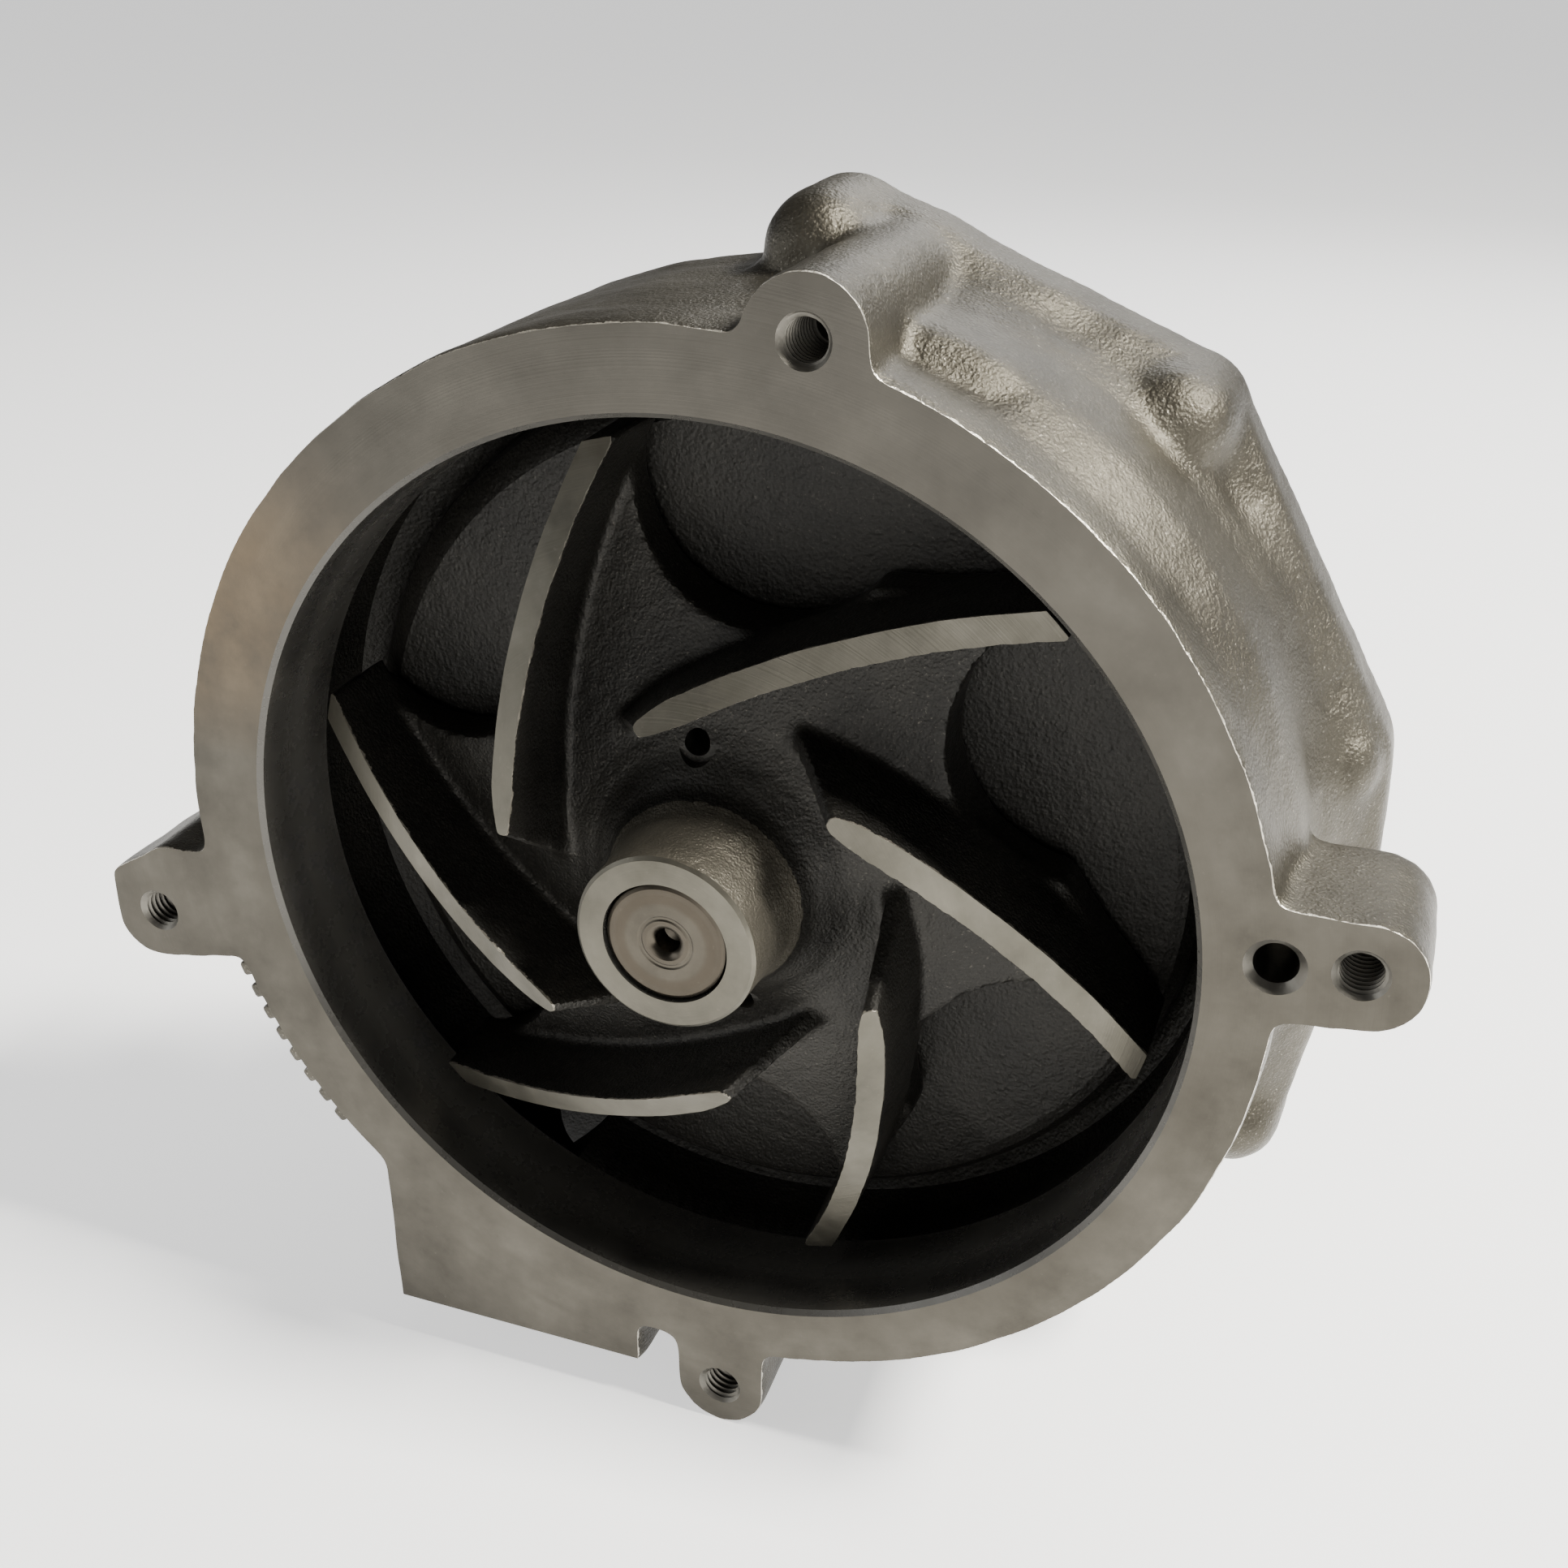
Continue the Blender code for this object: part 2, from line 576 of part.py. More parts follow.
def vane_mesh(tip_angle):
    """Backward-curved vane with a slanted leading edge, lofted from plate to front edge."""
    bm = bmesh.new()
    centre = Vector(around(VANE_ARC_CENTRE, vane_centre_angle(tip_angle)))
    stations = 11
    rows = []
    for i in range(stations):
        share = i / (stations - 1)
        row = []
        for root, sink in ((VANE_ROOT_BACK, True), (VANE_ROOT_FRONT, False)):
            radius = root + (VANE_TIP_RADIUS - root) * share
            middle = Vector(around(radius, vane_angle(radius, tip_angle)))
            outward = (middle - centre).normalized()
            half = VANE_THICKNESS / 2 * (0.62 if i == 0 else 1.0) * (1.15 if sink else 1.0)
            y = PLATE_CONE[0] + PLATE_CONE[1] * radius + 0.0018 if sink else \
                VANE_EDGE_CONE[0] + VANE_EDGE_CONE[1] * radius
            for sign in ((-1, 1) if sink else (1, -1)):
                p = middle + outward * half * sign
                row.append(bm.verts.new((p.x, y, p.y)))
        rows.append(row)
    for a, b in zip(rows, rows[1:]):
        for i in range(4):
            j = (i + 1) % 4
            bm.faces.new((a[i], a[j], b[j], b[i]))
    bm.faces.new(rows[0])
    bm.faces.new(rows[-1])
    return mesh_from(bm, "vane")


def scallop_mesh(tip_angle):
    """Cutter between one vane's web and the next vane's back."""
    centre_angle = tip_angle - SCALLOP_LAG
    centre = around(SCALLOP_CENTRE, centre_angle)
    start = centre_angle + math.radians(84)
    outline = arc(centre, SCALLOP_RADIUS, start, start + math.radians(152), 14)
    next_tip = tip_angle - math.tau / VANES
    next_centre = Vector(around(VANE_ARC_CENTRE, vane_centre_angle(next_tip)))
    for radius in (0.0640, 0.0700, 0.0760, VANE_TIP_RADIUS):
        middle = Vector(around(radius, vane_angle(radius, next_tip)))
        point = middle + (middle - next_centre).normalized() * (VANE_THICKNESS / 2 + 0.0006)
        outline.append(tuple(point))
    outline.append(around(0.090, next_tip + math.radians(2)))
    outline.append(around(0.098, tip_angle - math.radians(30)))
    outline.append(around(0.090, tip_angle - math.radians(1.5)))
    return prism("scallop", outline, 0.016, PLATE_BACK_Y + 0.004)


def make_impeller(material):
    def plate_y(radius):
        return PLATE_CONE[0] + PLATE_CONE[1] * radius
    profile = [
        (SHAFT_FRONT_RADIUS + FIT_GAP, HUB_FRONT_Y), (HUB_RADIUS - 0.0004, HUB_FRONT_Y),
        (HUB_RADIUS, HUB_FRONT_Y + 0.0004), (HUB_RADIUS + 0.0010, 0.0040), (0.0186, 0.0092),
        (0.0220, 0.0124), (0.0280, plate_y(0.0280)), (0.0550, plate_y(0.0550)),
        (VANE_TIP_RADIUS - 0.0008, plate_y(VANE_TIP_RADIUS)),
        (VANE_TIP_RADIUS, plate_y(VANE_TIP_RADIUS) + 0.0008),
        (VANE_TIP_RADIUS, PLATE_BACK_Y), (SEAL_POCKET_RADIUS, PLATE_BACK_Y),
        (SEAL_POCKET_RADIUS, SEAL_POCKET_Y), (SHAFT_FRONT_RADIUS + FIT_GAP, SEAL_POCKET_Y),
    ]
    impeller = add_object("impeller", turned("impeller", profile, 40), material)
    tips = [VANE_TIP_ANGLE - math.tau * i / VANES for i in range(VANES)]
    for tip in tips:
        cut(impeller, scallop_mesh(tip))
    for tip in tips:
        fuse(impeller, vane_mesh(tip))
    for turn in (0, math.pi):
        hole = rod("puller", PULLER_RADIUS, 0.005, PLATE_BACK_Y + 0.004, 10)
        cut(impeller, place(hole, *around(PULLER_CIRCLE, PULLER_ANGLE + turn)))
    clean(impeller)
    return impeller


# ---------------------------------------------------------------- shaft, bearings
def make_shaft(material):
    front = SHAFT_FRONT_Y
    chamfer = 0.0006
    profile = [
        (0, front + CENTRE_HOLE_DEPTH), (CENTRE_HOLE_RADIUS, front + CENTRE_HOLE_DEPTH - 0.0012),
        (CENTRE_HOLE_RADIUS, front + 0.0008), (CENTRE_HOLE_RADIUS + 0.0008, front),
        (SHAFT_FRONT_RADIUS - chamfer, front), (SHAFT_FRONT_RADIUS, front + chamfer),
        (SHAFT_FRONT_RADIUS, JOURNAL_START), (JOURNAL_RADIUS, JOURNAL_START + 0.001),
        (JOURNAL_RADIUS, HUB_FLANGE_Y - 0.0015), (HUB_SEAT_RADIUS, HUB_FLANGE_Y - 0.0010),
        (HUB_SEAT_RADIUS, SHAFT_END_Y - 0.001), (HUB_SEAT_RADIUS - 0.001, SHAFT_END_Y), (0, SHAFT_END_Y),
    ]
    return add_object("pump_shaft", turned("pump_shaft", profile, 24, closed=False), material)


def race_arc(middle_y, edge, bulge, steps=2):
    """Shallow raceway groove: offsets from the land, bulging away from the balls."""
    half = BALL_RADIUS * 0.72
    points = []
    for i in range(steps + 1):
        share = -1 + 2 * i / steps
        points.append((edge + bulge * (1 - share ** 2), middle_y + half * share))
    return points


def make_bearing(prefix, y0, steel, cage_steel):
    y1 = y0 + BEARING_WIDTH
    middle = (y0 + y1) / 2
    groove_outer = BALL_CIRCLE + BALL_RADIUS + BALL_CLEARANCE
    groove_inner = BALL_CIRCLE - BALL_RADIUS - BALL_CLEARANCE
    land_outer = BEARING_RADIUS - RING_WALL + 0.0002
    land_inner = JOURNAL_RADIUS + FIT_GAP + RING_WALL
    edge = 0.0006
    outer = [(BEARING_RADIUS - edge, y0), (BEARING_RADIUS, y0 + edge), (BEARING_RADIUS, y1 - edge),
             (BEARING_RADIUS - edge, y1), (land_outer, y1)]
    outer += reversed(race_arc(middle, land_outer, groove_outer - land_outer))
    outer.append((land_outer, y0))
    inner = [(JOURNAL_RADIUS + FIT_GAP, y0), (JOURNAL_RADIUS + FIT_GAP, y1), (land_inner, y1)]
    inner += reversed(race_arc(middle, land_inner, groove_inner - land_inner))
    inner.append((land_inner, y0))
    add_object(prefix + "_bearing_outer_ring", turned("outer", outer, 32), steel)
    add_object(prefix + "_bearing_inner_ring", turned("inner", inner, 28), steel)
    make_cage(prefix, middle, cage_steel)
    ball = ball_mesh()
    for i in range(BALL_COUNT):
        angle = math.tau * (i + 0.25) / BALL_COUNT
        x, z = around(BALL_CIRCLE, angle)
        item = add_object("%s_bearing_ball_%d" % (prefix, i + 1), ball.copy(), steel)
        item.location = (x, middle, z)


def ball_mesh():
    bm = bmesh.new()
    bmesh.ops.create_uvsphere(bm, u_segments=10, v_segments=6, radius=BALL_RADIUS)
    bmesh.ops.rotate(bm, verts=bm.verts, cent=(0, 0, 0), matrix=Matrix.Rotation(math.radians(90), 3, "X"))
    return mesh_from(bm, "ball")


def make_cage(prefix, middle, material):
    """Snap-in cage: a ring on one side of the balls with fingers between them."""
    inner = BALL_CIRCLE - 0.0017
    outer = BALL_CIRCLE + 0.0017
    side = middle + BALL_RADIUS + 0.0005
    depth = 0.0013
    ring = [(inner, side), (outer, side), (outer, side + depth), (inner, side + depth)]
    cage = add_object(prefix + "_bearing_cage", turned("cage", ring, 28), material)
    for i in range(BALL_COUNT):
        angle = math.tau * (i + 0.75) / BALL_COUNT
        half = math.radians(7.5)
        outline = arc((0, 0), outer - 0.0002, angle - half, angle + half, 1)
        outline += arc((0, 0), inner + 0.0002, angle + half, angle - half, 1)
        fuse(cage, prism("finger", outline, middle - 0.0040, side + depth * 0.5))
    clean(cage)
    return cage


def make_spacer(material):
    inner = JOURNAL_RADIUS + FIT_GAP
    y0 = BEARING_FRONT_Y + BEARING_WIDTH + FIT_GAP
    y1 = BEARING_REAR_Y - FIT_GAP
    profile = [(inner, y0), (inner, y1), (inner + 0.0030, y1), (inner + 0.0030, y0)]
    return add_object("bearing_spacer", turned("spacer", profile, 24), material)


def make_circlip(material):
    """Open retaining ring in the housing's groove."""
    y0 = BEARING_REAR_Y + BEARING_WIDTH + FIT_GAP
    outer = BEARING_BORE + 0.0015
    inner = BEARING_BORE - 0.0024
    gap = math.radians(12)
    start = math.radians(-90) + gap
    end = math.radians(270) - gap
    outline = arc((0, 0), outer, start, end, 24) + arc((0, 0), inner, end, start, 24)
    return add_object("bearing_circlip", prism("circlip", outline, y0, y0 + 0.0018), material)


# ---------------------------------------------------------------- seal
def make_seal(materials):
    rim = SEAL_POCKET_RADIUS - FIT_GAP
    seat = [(SEAL_SEAT_INNER, SEAL_SEAT_Y), (SEAL_SEAT_INNER, SEAL_SEAT_REAR),
            (SEAL_FACE_OUTER + 0.0004, SEAL_SEAT_REAR), (rim, SEAL_SEAT_REAR - 0.0016), (rim, SEAL_SEAT_Y)]
    add_object("seal_mating_ring", turned("seat", seat, 24), materials["ceramic"])

    y0 = SEAL_FACE_Y
    y1 = y0 + SEAL_FACE_LENGTH
    face = [(SEAL_FACE_INNER, y0), (SEAL_FACE_INNER, y1), (SEAL_FACE_OUTER + 0.0012, y1),
            (SEAL_FACE_OUTER + 0.0012, y0 + 0.0016), (SEAL_FACE_OUTER, y0 + 0.0016), (SEAL_FACE_OUTER, y0)]
    add_object("seal_carbon_ring", turned("face", face, 24), materials["carbon"])

    bellows_front = y1 + 0.0012
    bellows_rear = SEAL_CUP_REAR - SEAL_WALL - FIT_GAP - SEAL_TRAVEL
    wall = 0.0014
    inner = SEAL_FACE_INNER - 0.0004
    waist = (bellows_front + bellows_rear) / 2
    bellows = [(inner, bellows_front), (inner, waist - 0.0018), (inner + 0.0010, waist),
               (inner, waist + 0.0018), (inner, bellows_rear), (inner + 0.0030, bellows_rear),
               (inner + 0.0030, bellows_rear - wall),
               (inner + wall, bellows_rear - wall), (inner + wall, waist + 0.0020),
               (inner + 0.0010 + wall, waist), (inner + wall, waist - 0.0020),
               (inner + wall, bellows_front + wall), (inner + 0.0030, bellows_front + wall),
               (inner + 0.0030, bellows_front)]
    add_object("seal_bellows", turned("bellows", bellows, 20), materials["rubber"])

    outer = SEAL_BORE_RADIUS - FIT_GAP
    lip = SEAL_BORE_RADIUS + 0.0022
    cup_front = HOUSING_NOSE_Y - FIT_GAP
    hole = SEAL_FACE_INNER - 0.0008
    cup_floor = SEAL_CUP_REAR - SEAL_WALL
    cup = [(outer - SEAL_WALL, cup_front - SEAL_WALL), (lip, cup_front - SEAL_WALL), (lip, cup_front),
           (outer, cup_front), (outer, SEAL_CUP_REAR), (hole, SEAL_CUP_REAR), (hole, cup_floor),
           (outer - SEAL_WALL, cup_floor)]
    add_object("seal_cup", turned("cup", cup, 24), materials["steel"])
    spring_front = bellows_front + wall + 0.0010
    spring_rear = bellows_rear - wall - 0.0010
    make_spring(spring_front, spring_rear, inner + 0.0040, materials["steel"])


def make_spring(y0, y1, radius, material):
    """Round-wire coil, swept along its helix."""
    bm = bmesh.new()
    sides = 4
    steps = SPRING_TURNS * 12
    rings = []
    slope = (y1 - y0 - 2 * SPRING_WIRE) / steps
    for i in range(steps + 1):
        angle = math.tau * SPRING_TURNS * i / steps
        x, z = around(radius, angle)
        y = y0 + SPRING_WIRE + slope * i
        ring = []
        for k in range(sides):
            phase = math.tau * k / sides
            reach = radius + SPRING_WIRE * math.cos(phase)
            vx, vz = around(reach, angle)
            ring.append(bm.verts.new((vx, y + SPRING_WIRE * math.sin(phase), vz)))
        rings.append(ring)
    for a, b in zip(rings, rings[1:]):
        for k in range(sides):
            j = (k + 1) % sides
            bm.faces.new((a[k], a[j], b[j], b[k]))
    bm.faces.new(rings[0])
    bm.faces.new(rings[-1])
    return add_object("seal_spring", mesh_from(bm, "spring"), material)


def make_flinger(material):
    inner = JOURNAL_RADIUS + FIT_GAP
    sleeve = inner + 0.0025
    y0 = FLINGER_Y
    profile = [(inner, y0), (inner, y0 + 0.0060), (sleeve, y0 + 0.0060), (sleeve, y0 + 0.0022),
               (FLINGER_RADIUS, y0 + 0.0008), (FLINGER_RADIUS, y0 - 0.0006), (sleeve, y0)]
    return add_object("water_flinger", turned("flinger", profile, 24), material)


def make_dust_seal(material):
    """Lip seal behind the rear bearing."""
    y0 = BEARING_REAR_Y + BEARING_WIDTH + FIT_GAP + 0.0018 + FIT_GAP + 0.0006
    y1 = HOUSING_END_Y - 0.0006
    outer = BEARING_RADIUS
    lip = JOURNAL_RADIUS + FIT_GAP
    profile = [(lip, y1 - 0.0030), (outer - 0.0030, y1 - 0.0012), (outer - 0.0030, y0), (outer, y0),
               (outer, y1), (lip + 0.0030, y1), (lip, y1 - 0.0018)]
    return add_object("rear_dust_seal", turned("dust_seal", profile, 24), material)


# ---------------------------------------------------------------- bearing housing
def cover_bolt_angles():
    return [math.radians(22) + math.tau * i / COVER_BOLTS for i in range(COVER_BOLTS)]


def make_bearing_housing(material):
    rear = HOUSING_FLANGE_Y + HOUSING_FLANGE_THICKNESS
    neck = HOUSING_NECK_RADIUS
    groove_y0 = BEARING_REAR_Y + BEARING_WIDTH
    groove_y1 = groove_y0 + 0.0018 + 2 * FIT_GAP
    groove = BEARING_BORE + 0.0018
    nose = PILOT_RADIUS
    profile = [
        (SEAL_BORE_RADIUS, HOUSING_NOSE_Y), (nose - 0.0012, HOUSING_NOSE_Y), (nose, HOUSING_NOSE_Y + 0.0012),
        (nose, HOUSING_FLANGE_Y), (HOUSING_FLANGE_RADIUS, HOUSING_FLANGE_Y),
        (HOUSING_FLANGE_RADIUS, rear - 0.0015), (HOUSING_FLANGE_RADIUS - 0.0015, rear),
        (neck + 0.0040, rear), (neck + 0.0012, rear + 0.0012), (neck, rear + 0.0040),
        (neck - 0.0008, HOUSING_END_Y - 0.0010), (neck - 0.0018, HOUSING_END_Y),
        (BEARING_BORE + 0.0006, HOUSING_END_Y), (BEARING_BORE, HOUSING_END_Y - 0.0006),
        (BEARING_BORE, groove_y1), (groove, groove_y1), (groove, groove_y0), (BEARING_BORE, groove_y0),
        (BEARING_BORE, BEARING_FRONT_Y - FIT_GAP), (0.0270, BEARING_FRONT_Y - FIT_GAP),
        (0.0270, 0.0580), (0.0160, 0.0560), (0.0160, SEAL_CUP_REAR + FIT_GAP),
        (SEAL_BORE_RADIUS, SEAL_CUP_REAR + FIT_GAP),
    ]
    housing = add_object("bearing_housing", turned("bearing_housing", profile, 32), material)
    for i in range(NECK_RIBS):
        angle = math.radians(52) + math.tau * i / NECK_RIBS
        fuse(housing, rib_mesh(angle, rear))
    for angle in cover_bolt_angles():
        hole = rod("bolt_hole", COVER_BOLT_RADIUS + FIT_GAP, HOUSING_FLANGE_Y - 0.002, rear + 0.002, 10)
        cut(housing, place(hole, *around(COVER_BOLT_CIRCLE, angle)))
    weep = rod("weep", WEEP_RADIUS, 0.024, 0.050, 10)
    turn = Matrix.Rotation(math.radians(-90), 4, "X")
    shift = Matrix.Translation((0, BEARING_FRONT_Y - 0.0045, 0))
    cut(housing, moved_mesh(weep, shift @ turn))
    clean(housing)
    return housing


def rib_mesh(angle, rear):
    """Stiffening rib between the flange and the neck."""
    outline = [(HOUSING_NECK_RADIUS - 0.0030, rear - 0.0010), (COVER_BOLT_CIRCLE - 0.0105, rear - 0.0010),
               (COVER_BOLT_CIRCLE - 0.0130, rear + 0.0030), (HOUSING_NECK_RADIUS + 0.0020, rear + 0.0300),
               (HOUSING_NECK_RADIUS - 0.0030, rear + 0.0330)]
    bm = bmesh.new()
    face = bm.faces.new([bm.verts.new((r, y, -0.0030)) for r, y in outline])
    extruded = bmesh.ops.extrude_face_region(bm, geom=[face])
    moved = [item for item in extruded["geom"] if isinstance(item, bmesh.types.BMVert)]
    bmesh.ops.translate(bm, verts=moved, vec=(0, 0, 0.0060))
    bmesh.ops.rotate(bm, verts=bm.verts, cent=(0, 0, 0), matrix=Matrix.Rotation(-angle, 3, "Y"))
    return mesh_from(bm, "rib")


def make_gasket(material):
    inner = RECESS[1] + 0.0015
    outer = HOUSING_FLANGE_RADIUS - 0.0005
    y1 = GASKET_Y + GASKET_THICKNESS
    profile = [(inner, GASKET_Y), (outer, GASKET_Y), (outer, y1), (inner, y1)]
    gasket = add_object("housing_gasket", turned("gasket", profile, 32), material)
    for angle in cover_bolt_angles():
        hole = rod("bolt_hole", COVER_BOLT_RADIUS + FIT_GAP, GASKET_Y - 0.002, y1 + 0.002, 10)
        cut(gasket, place(hole, *around(COVER_BOLT_CIRCLE, angle)))
    clean(gasket)
    return gasket


def bolt_mesh(name, radius, length, head_across, head_height):
    """Hexagon flange bolt, head towards +Y with its seat at y = 0."""
    washer = 0.0012
    rim = head_across * 0.66
    profile = [(0, -length), (radius - 0.0006, -length), (radius, -length + 0.0006), (radius, 0.0),
               (rim, 0.0), (rim, washer), (0, washer)]
    shank = turned(name, profile, 10, closed=False)
    item = bpy.data.objects.new("bolt", shank)
    bpy.context.scene.collection.objects.link(item)
    hexagon = arc((0, 0), head_across / math.sqrt(3), 0, math.tau, 6)[:-1]
    fuse(item, bevelled(prism("head", hexagon, washer * 0.5, head_height), 0.0005, 1, head_height))
    clean(item)
    mesh = item.data
    bpy.data.objects.remove(item, do_unlink=True)
    return mesh


def make_cover_bolts(material):
    mesh = bolt_mesh("cover_bolt", COVER_BOLT_RADIUS, 0.0235, 0.0130, 0.0085)
    for i, angle in enumerate(cover_bolt_angles()):
        x, z = around(COVER_BOLT_CIRCLE, angle)
        item = add_object("housing_bolt_%d" % (i + 1), mesh.copy(), material)
        item.location = (x, COVER_BOLT_HEAD_Y, z)


# ---------------------------------------------------------------- pulley
def pulley_bolt_angles():
    return [math.radians(45) + math.tau * i / PULLEY_BOLTS for i in range(PULLEY_BOLTS)]


def make_pulley_hub(material):
    bore = HUB_SEAT_RADIUS + FIT_GAP
    rear = HUB_FLANGE_Y + HUB_FLANGE_THICKNESS
    spigot = SHAFT_END_Y - 0.0008
    front = HUB_FLANGE_Y
    profile = [(bore, front), (HUB_FLANGE_RADIUS - 0.0010, front), (HUB_FLANGE_RADIUS, front + 0.0010),
               (HUB_FLANGE_RADIUS, rear - 0.0010), (HUB_FLANGE_RADIUS - 0.0010, rear),
               (HUB_BARREL_RADIUS, rear),
               (HUB_BARREL_RADIUS, spigot - 0.0010), (HUB_BARREL_RADIUS - 0.0010, spigot), (bore, spigot)]
    hub = add_object("pulley_hub", turned("pulley_hub", profile, 28), material)
    for angle in pulley_bolt_angles():
        hole = rod("tap", PULLEY_BOLT_RADIUS + FIT_GAP, front - 0.002, rear + 0.002, 10)
        cut(hub, place(hole, *around(PULLEY_BOLT_CIRCLE, angle)))
    clean(hub)
    return hub


def pulley_profile():
    """Dished pulley: web at the back, ribbed rim reaching forward over the neck."""
    rear = PULLEY_WEB_Y + PULLEY_WEB
    outer = PULLEY_RADIUS
    inner = outer - PULLEY_RIM
    front = rear - PULLEY_WIDTH
    points = [(outer - 0.0008, rear), (outer, rear - 0.0008)]
    y = rear - PULLEY_FLANGE
    points.append((outer, y))
    for i in range(PULLEY_RIBS):
        points.append((outer - RIB_DEPTH, y - RIB_PITCH * 0.5))
        y -= RIB_PITCH
        points.append((outer - (0.0004 if i < PULLEY_RIBS - 1 else 0.0), y))
    points += [(outer, front + 0.0008), (outer - 0.0008, front), (inner, front)]
    points += [(inner, PULLEY_WEB_Y - 0.0030), (inner - 0.0030, PULLEY_WEB_Y)]
    points += [(HUB_BARREL_RADIUS + FIT_GAP, PULLEY_WEB_Y), (HUB_BARREL_RADIUS + FIT_GAP, rear)]
    return points


def make_pulley(material):
    pulley = add_object("drive_pulley", turned("drive_pulley", pulley_profile(), 36), material)
    for angle in pulley_bolt_angles():
        hole = rod("bolt_hole", PULLEY_BOLT_RADIUS + FIT_GAP, PULLEY_WEB_Y - 0.002,
                   PULLEY_WEB_Y + PULLEY_WEB + 0.002, 10)
        cut(pulley, place(hole, *around(PULLEY_BOLT_CIRCLE, angle)))
        window = rod("window", PULLEY_WINDOW_RADIUS, PULLEY_WEB_Y - 0.004,
                     PULLEY_WEB_Y + PULLEY_WEB + 0.004, 12)
        cut(pulley, place(window, *around(PULLEY_WINDOW_CIRCLE, angle + math.radians(45))))
    clean(pulley)
    return pulley


def make_pulley_bolts(material):
    length = PULLEY_WEB + HUB_FLANGE_THICKNESS - 0.0010
    mesh = bolt_mesh("pulley_bolt", PULLEY_BOLT_RADIUS, length, 0.0100, 0.0062)
    for i, angle in enumerate(pulley_bolt_angles()):
        x, z = around(PULLEY_BOLT_CIRCLE, angle)
        item = add_object("pulley_bolt_%d" % (i + 1), mesh.copy(), material)
        item.location = (x, PULLEY_WEB_Y + PULLEY_WEB + FIT_GAP, z)


# ---------------------------------------------------------------- assembly
def parent_rotor():
    """Everything that turns with the shaft hangs from one empty on its axis."""
    rotor = bpy.data.objects.new("rotor_axis", None)
    bpy.context.scene.collection.objects.link(rotor)
    turning = ("impeller", "pump_shaft", "seal_mating_ring", "water_flinger", "bearing_spacer",
               "pulley_hub", "drive_pulley", "front_bearing_inner_ring", "rear_bearing_inner_ring")
    for item in list(bpy.data.objects):
        if item.name in turning or item.name.startswith("pulley_bolt"):
            item.parent = rotor


def main():
    clear_scene()
    cast_iron = make_material("cast_iron", (0.20, 0.19, 0.17), 0.62, 0.55)
    impeller_iron = make_material("impeller_iron", (0.10, 0.098, 0.09), 0.55, 0.6)
    shaft_steel = make_material("shaft_steel", (0.45, 0.42, 0.38), 0.3, 1.0)
    bearing_steel = make_material("bearing_steel", (0.62, 0.62, 0.64), 0.18, 1.0)
    cage_steel = make_material("cage_steel", (0.52, 0.48, 0.40), 0.35, 0.9)
    zinc = make_material("zinc_plated", (0.58, 0.57, 0.52), 0.35, 0.9)
    painted = make_material("pulley_black", (0.035, 0.035, 0.038), 0.4, 0.1)
    rubber = make_material("black_rubber", (0.025, 0.025, 0.025), 0.7, 0.0)
    fibre = make_material("gasket_fibre", (0.30, 0.26, 0.20), 0.8, 0.0)
    ceramic = make_material("seal_ceramic", (0.72, 0.70, 0.64), 0.3, 0.0)
    carbon = make_material("seal_carbon", (0.05, 0.05, 0.055), 0.4, 0.1)

    make_pump_housing(cast_iron)
    make_impeller(impeller_iron)
    make_shaft(shaft_steel)
    make_bearing("front", BEARING_FRONT_Y, bearing_steel, cage_steel)
    make_bearing("rear", BEARING_REAR_Y, bearing_steel, cage_steel)
    make_spacer(shaft_steel)
    make_circlip(bearing_steel)
    make_seal({"ceramic": ceramic, "carbon": carbon, "rubber": rubber, "steel": bearing_steel})
    make_flinger(rubber)
    make_dust_seal(rubber)
    make_bearing_housing(cast_iron)
    make_gasket(fibre)
    make_cover_bolts(zinc)
    make_outlet_seal(rubber)
    make_pulley_hub(shaft_steel)
    make_pulley(painted)
    make_pulley_bolts(zinc)
    parent_rotor()
    bpy.context.view_layer.update()


main()
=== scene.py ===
import json
import math
import bmesh
import bpy
from mathutils import Matrix, Vector, noise


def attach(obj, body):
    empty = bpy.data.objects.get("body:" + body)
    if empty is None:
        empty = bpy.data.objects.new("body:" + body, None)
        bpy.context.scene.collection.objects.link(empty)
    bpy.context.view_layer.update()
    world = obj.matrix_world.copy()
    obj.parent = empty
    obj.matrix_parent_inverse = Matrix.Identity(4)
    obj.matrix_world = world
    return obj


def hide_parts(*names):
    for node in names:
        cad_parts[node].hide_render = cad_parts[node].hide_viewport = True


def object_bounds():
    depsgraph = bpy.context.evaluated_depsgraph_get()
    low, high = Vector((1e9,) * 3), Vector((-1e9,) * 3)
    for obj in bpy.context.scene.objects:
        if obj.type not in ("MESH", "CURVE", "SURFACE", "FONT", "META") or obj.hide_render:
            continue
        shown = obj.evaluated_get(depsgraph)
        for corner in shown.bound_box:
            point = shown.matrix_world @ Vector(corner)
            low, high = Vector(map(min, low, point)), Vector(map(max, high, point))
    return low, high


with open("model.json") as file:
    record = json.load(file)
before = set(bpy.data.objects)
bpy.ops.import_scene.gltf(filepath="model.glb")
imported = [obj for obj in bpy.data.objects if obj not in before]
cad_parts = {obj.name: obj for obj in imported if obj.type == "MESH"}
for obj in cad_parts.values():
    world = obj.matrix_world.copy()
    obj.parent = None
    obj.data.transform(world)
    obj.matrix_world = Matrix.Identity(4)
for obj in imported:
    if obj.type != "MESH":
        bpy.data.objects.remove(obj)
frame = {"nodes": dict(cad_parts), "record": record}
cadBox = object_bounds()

record = frame["record"]


def rad(degrees):
    return math.radians(degrees)


def polar(radius, degrees):
    return radius * math.cos(rad(degrees)), radius * math.sin(rad(degrees))


# ---- node helpers: inputs may be plain values or sockets to link

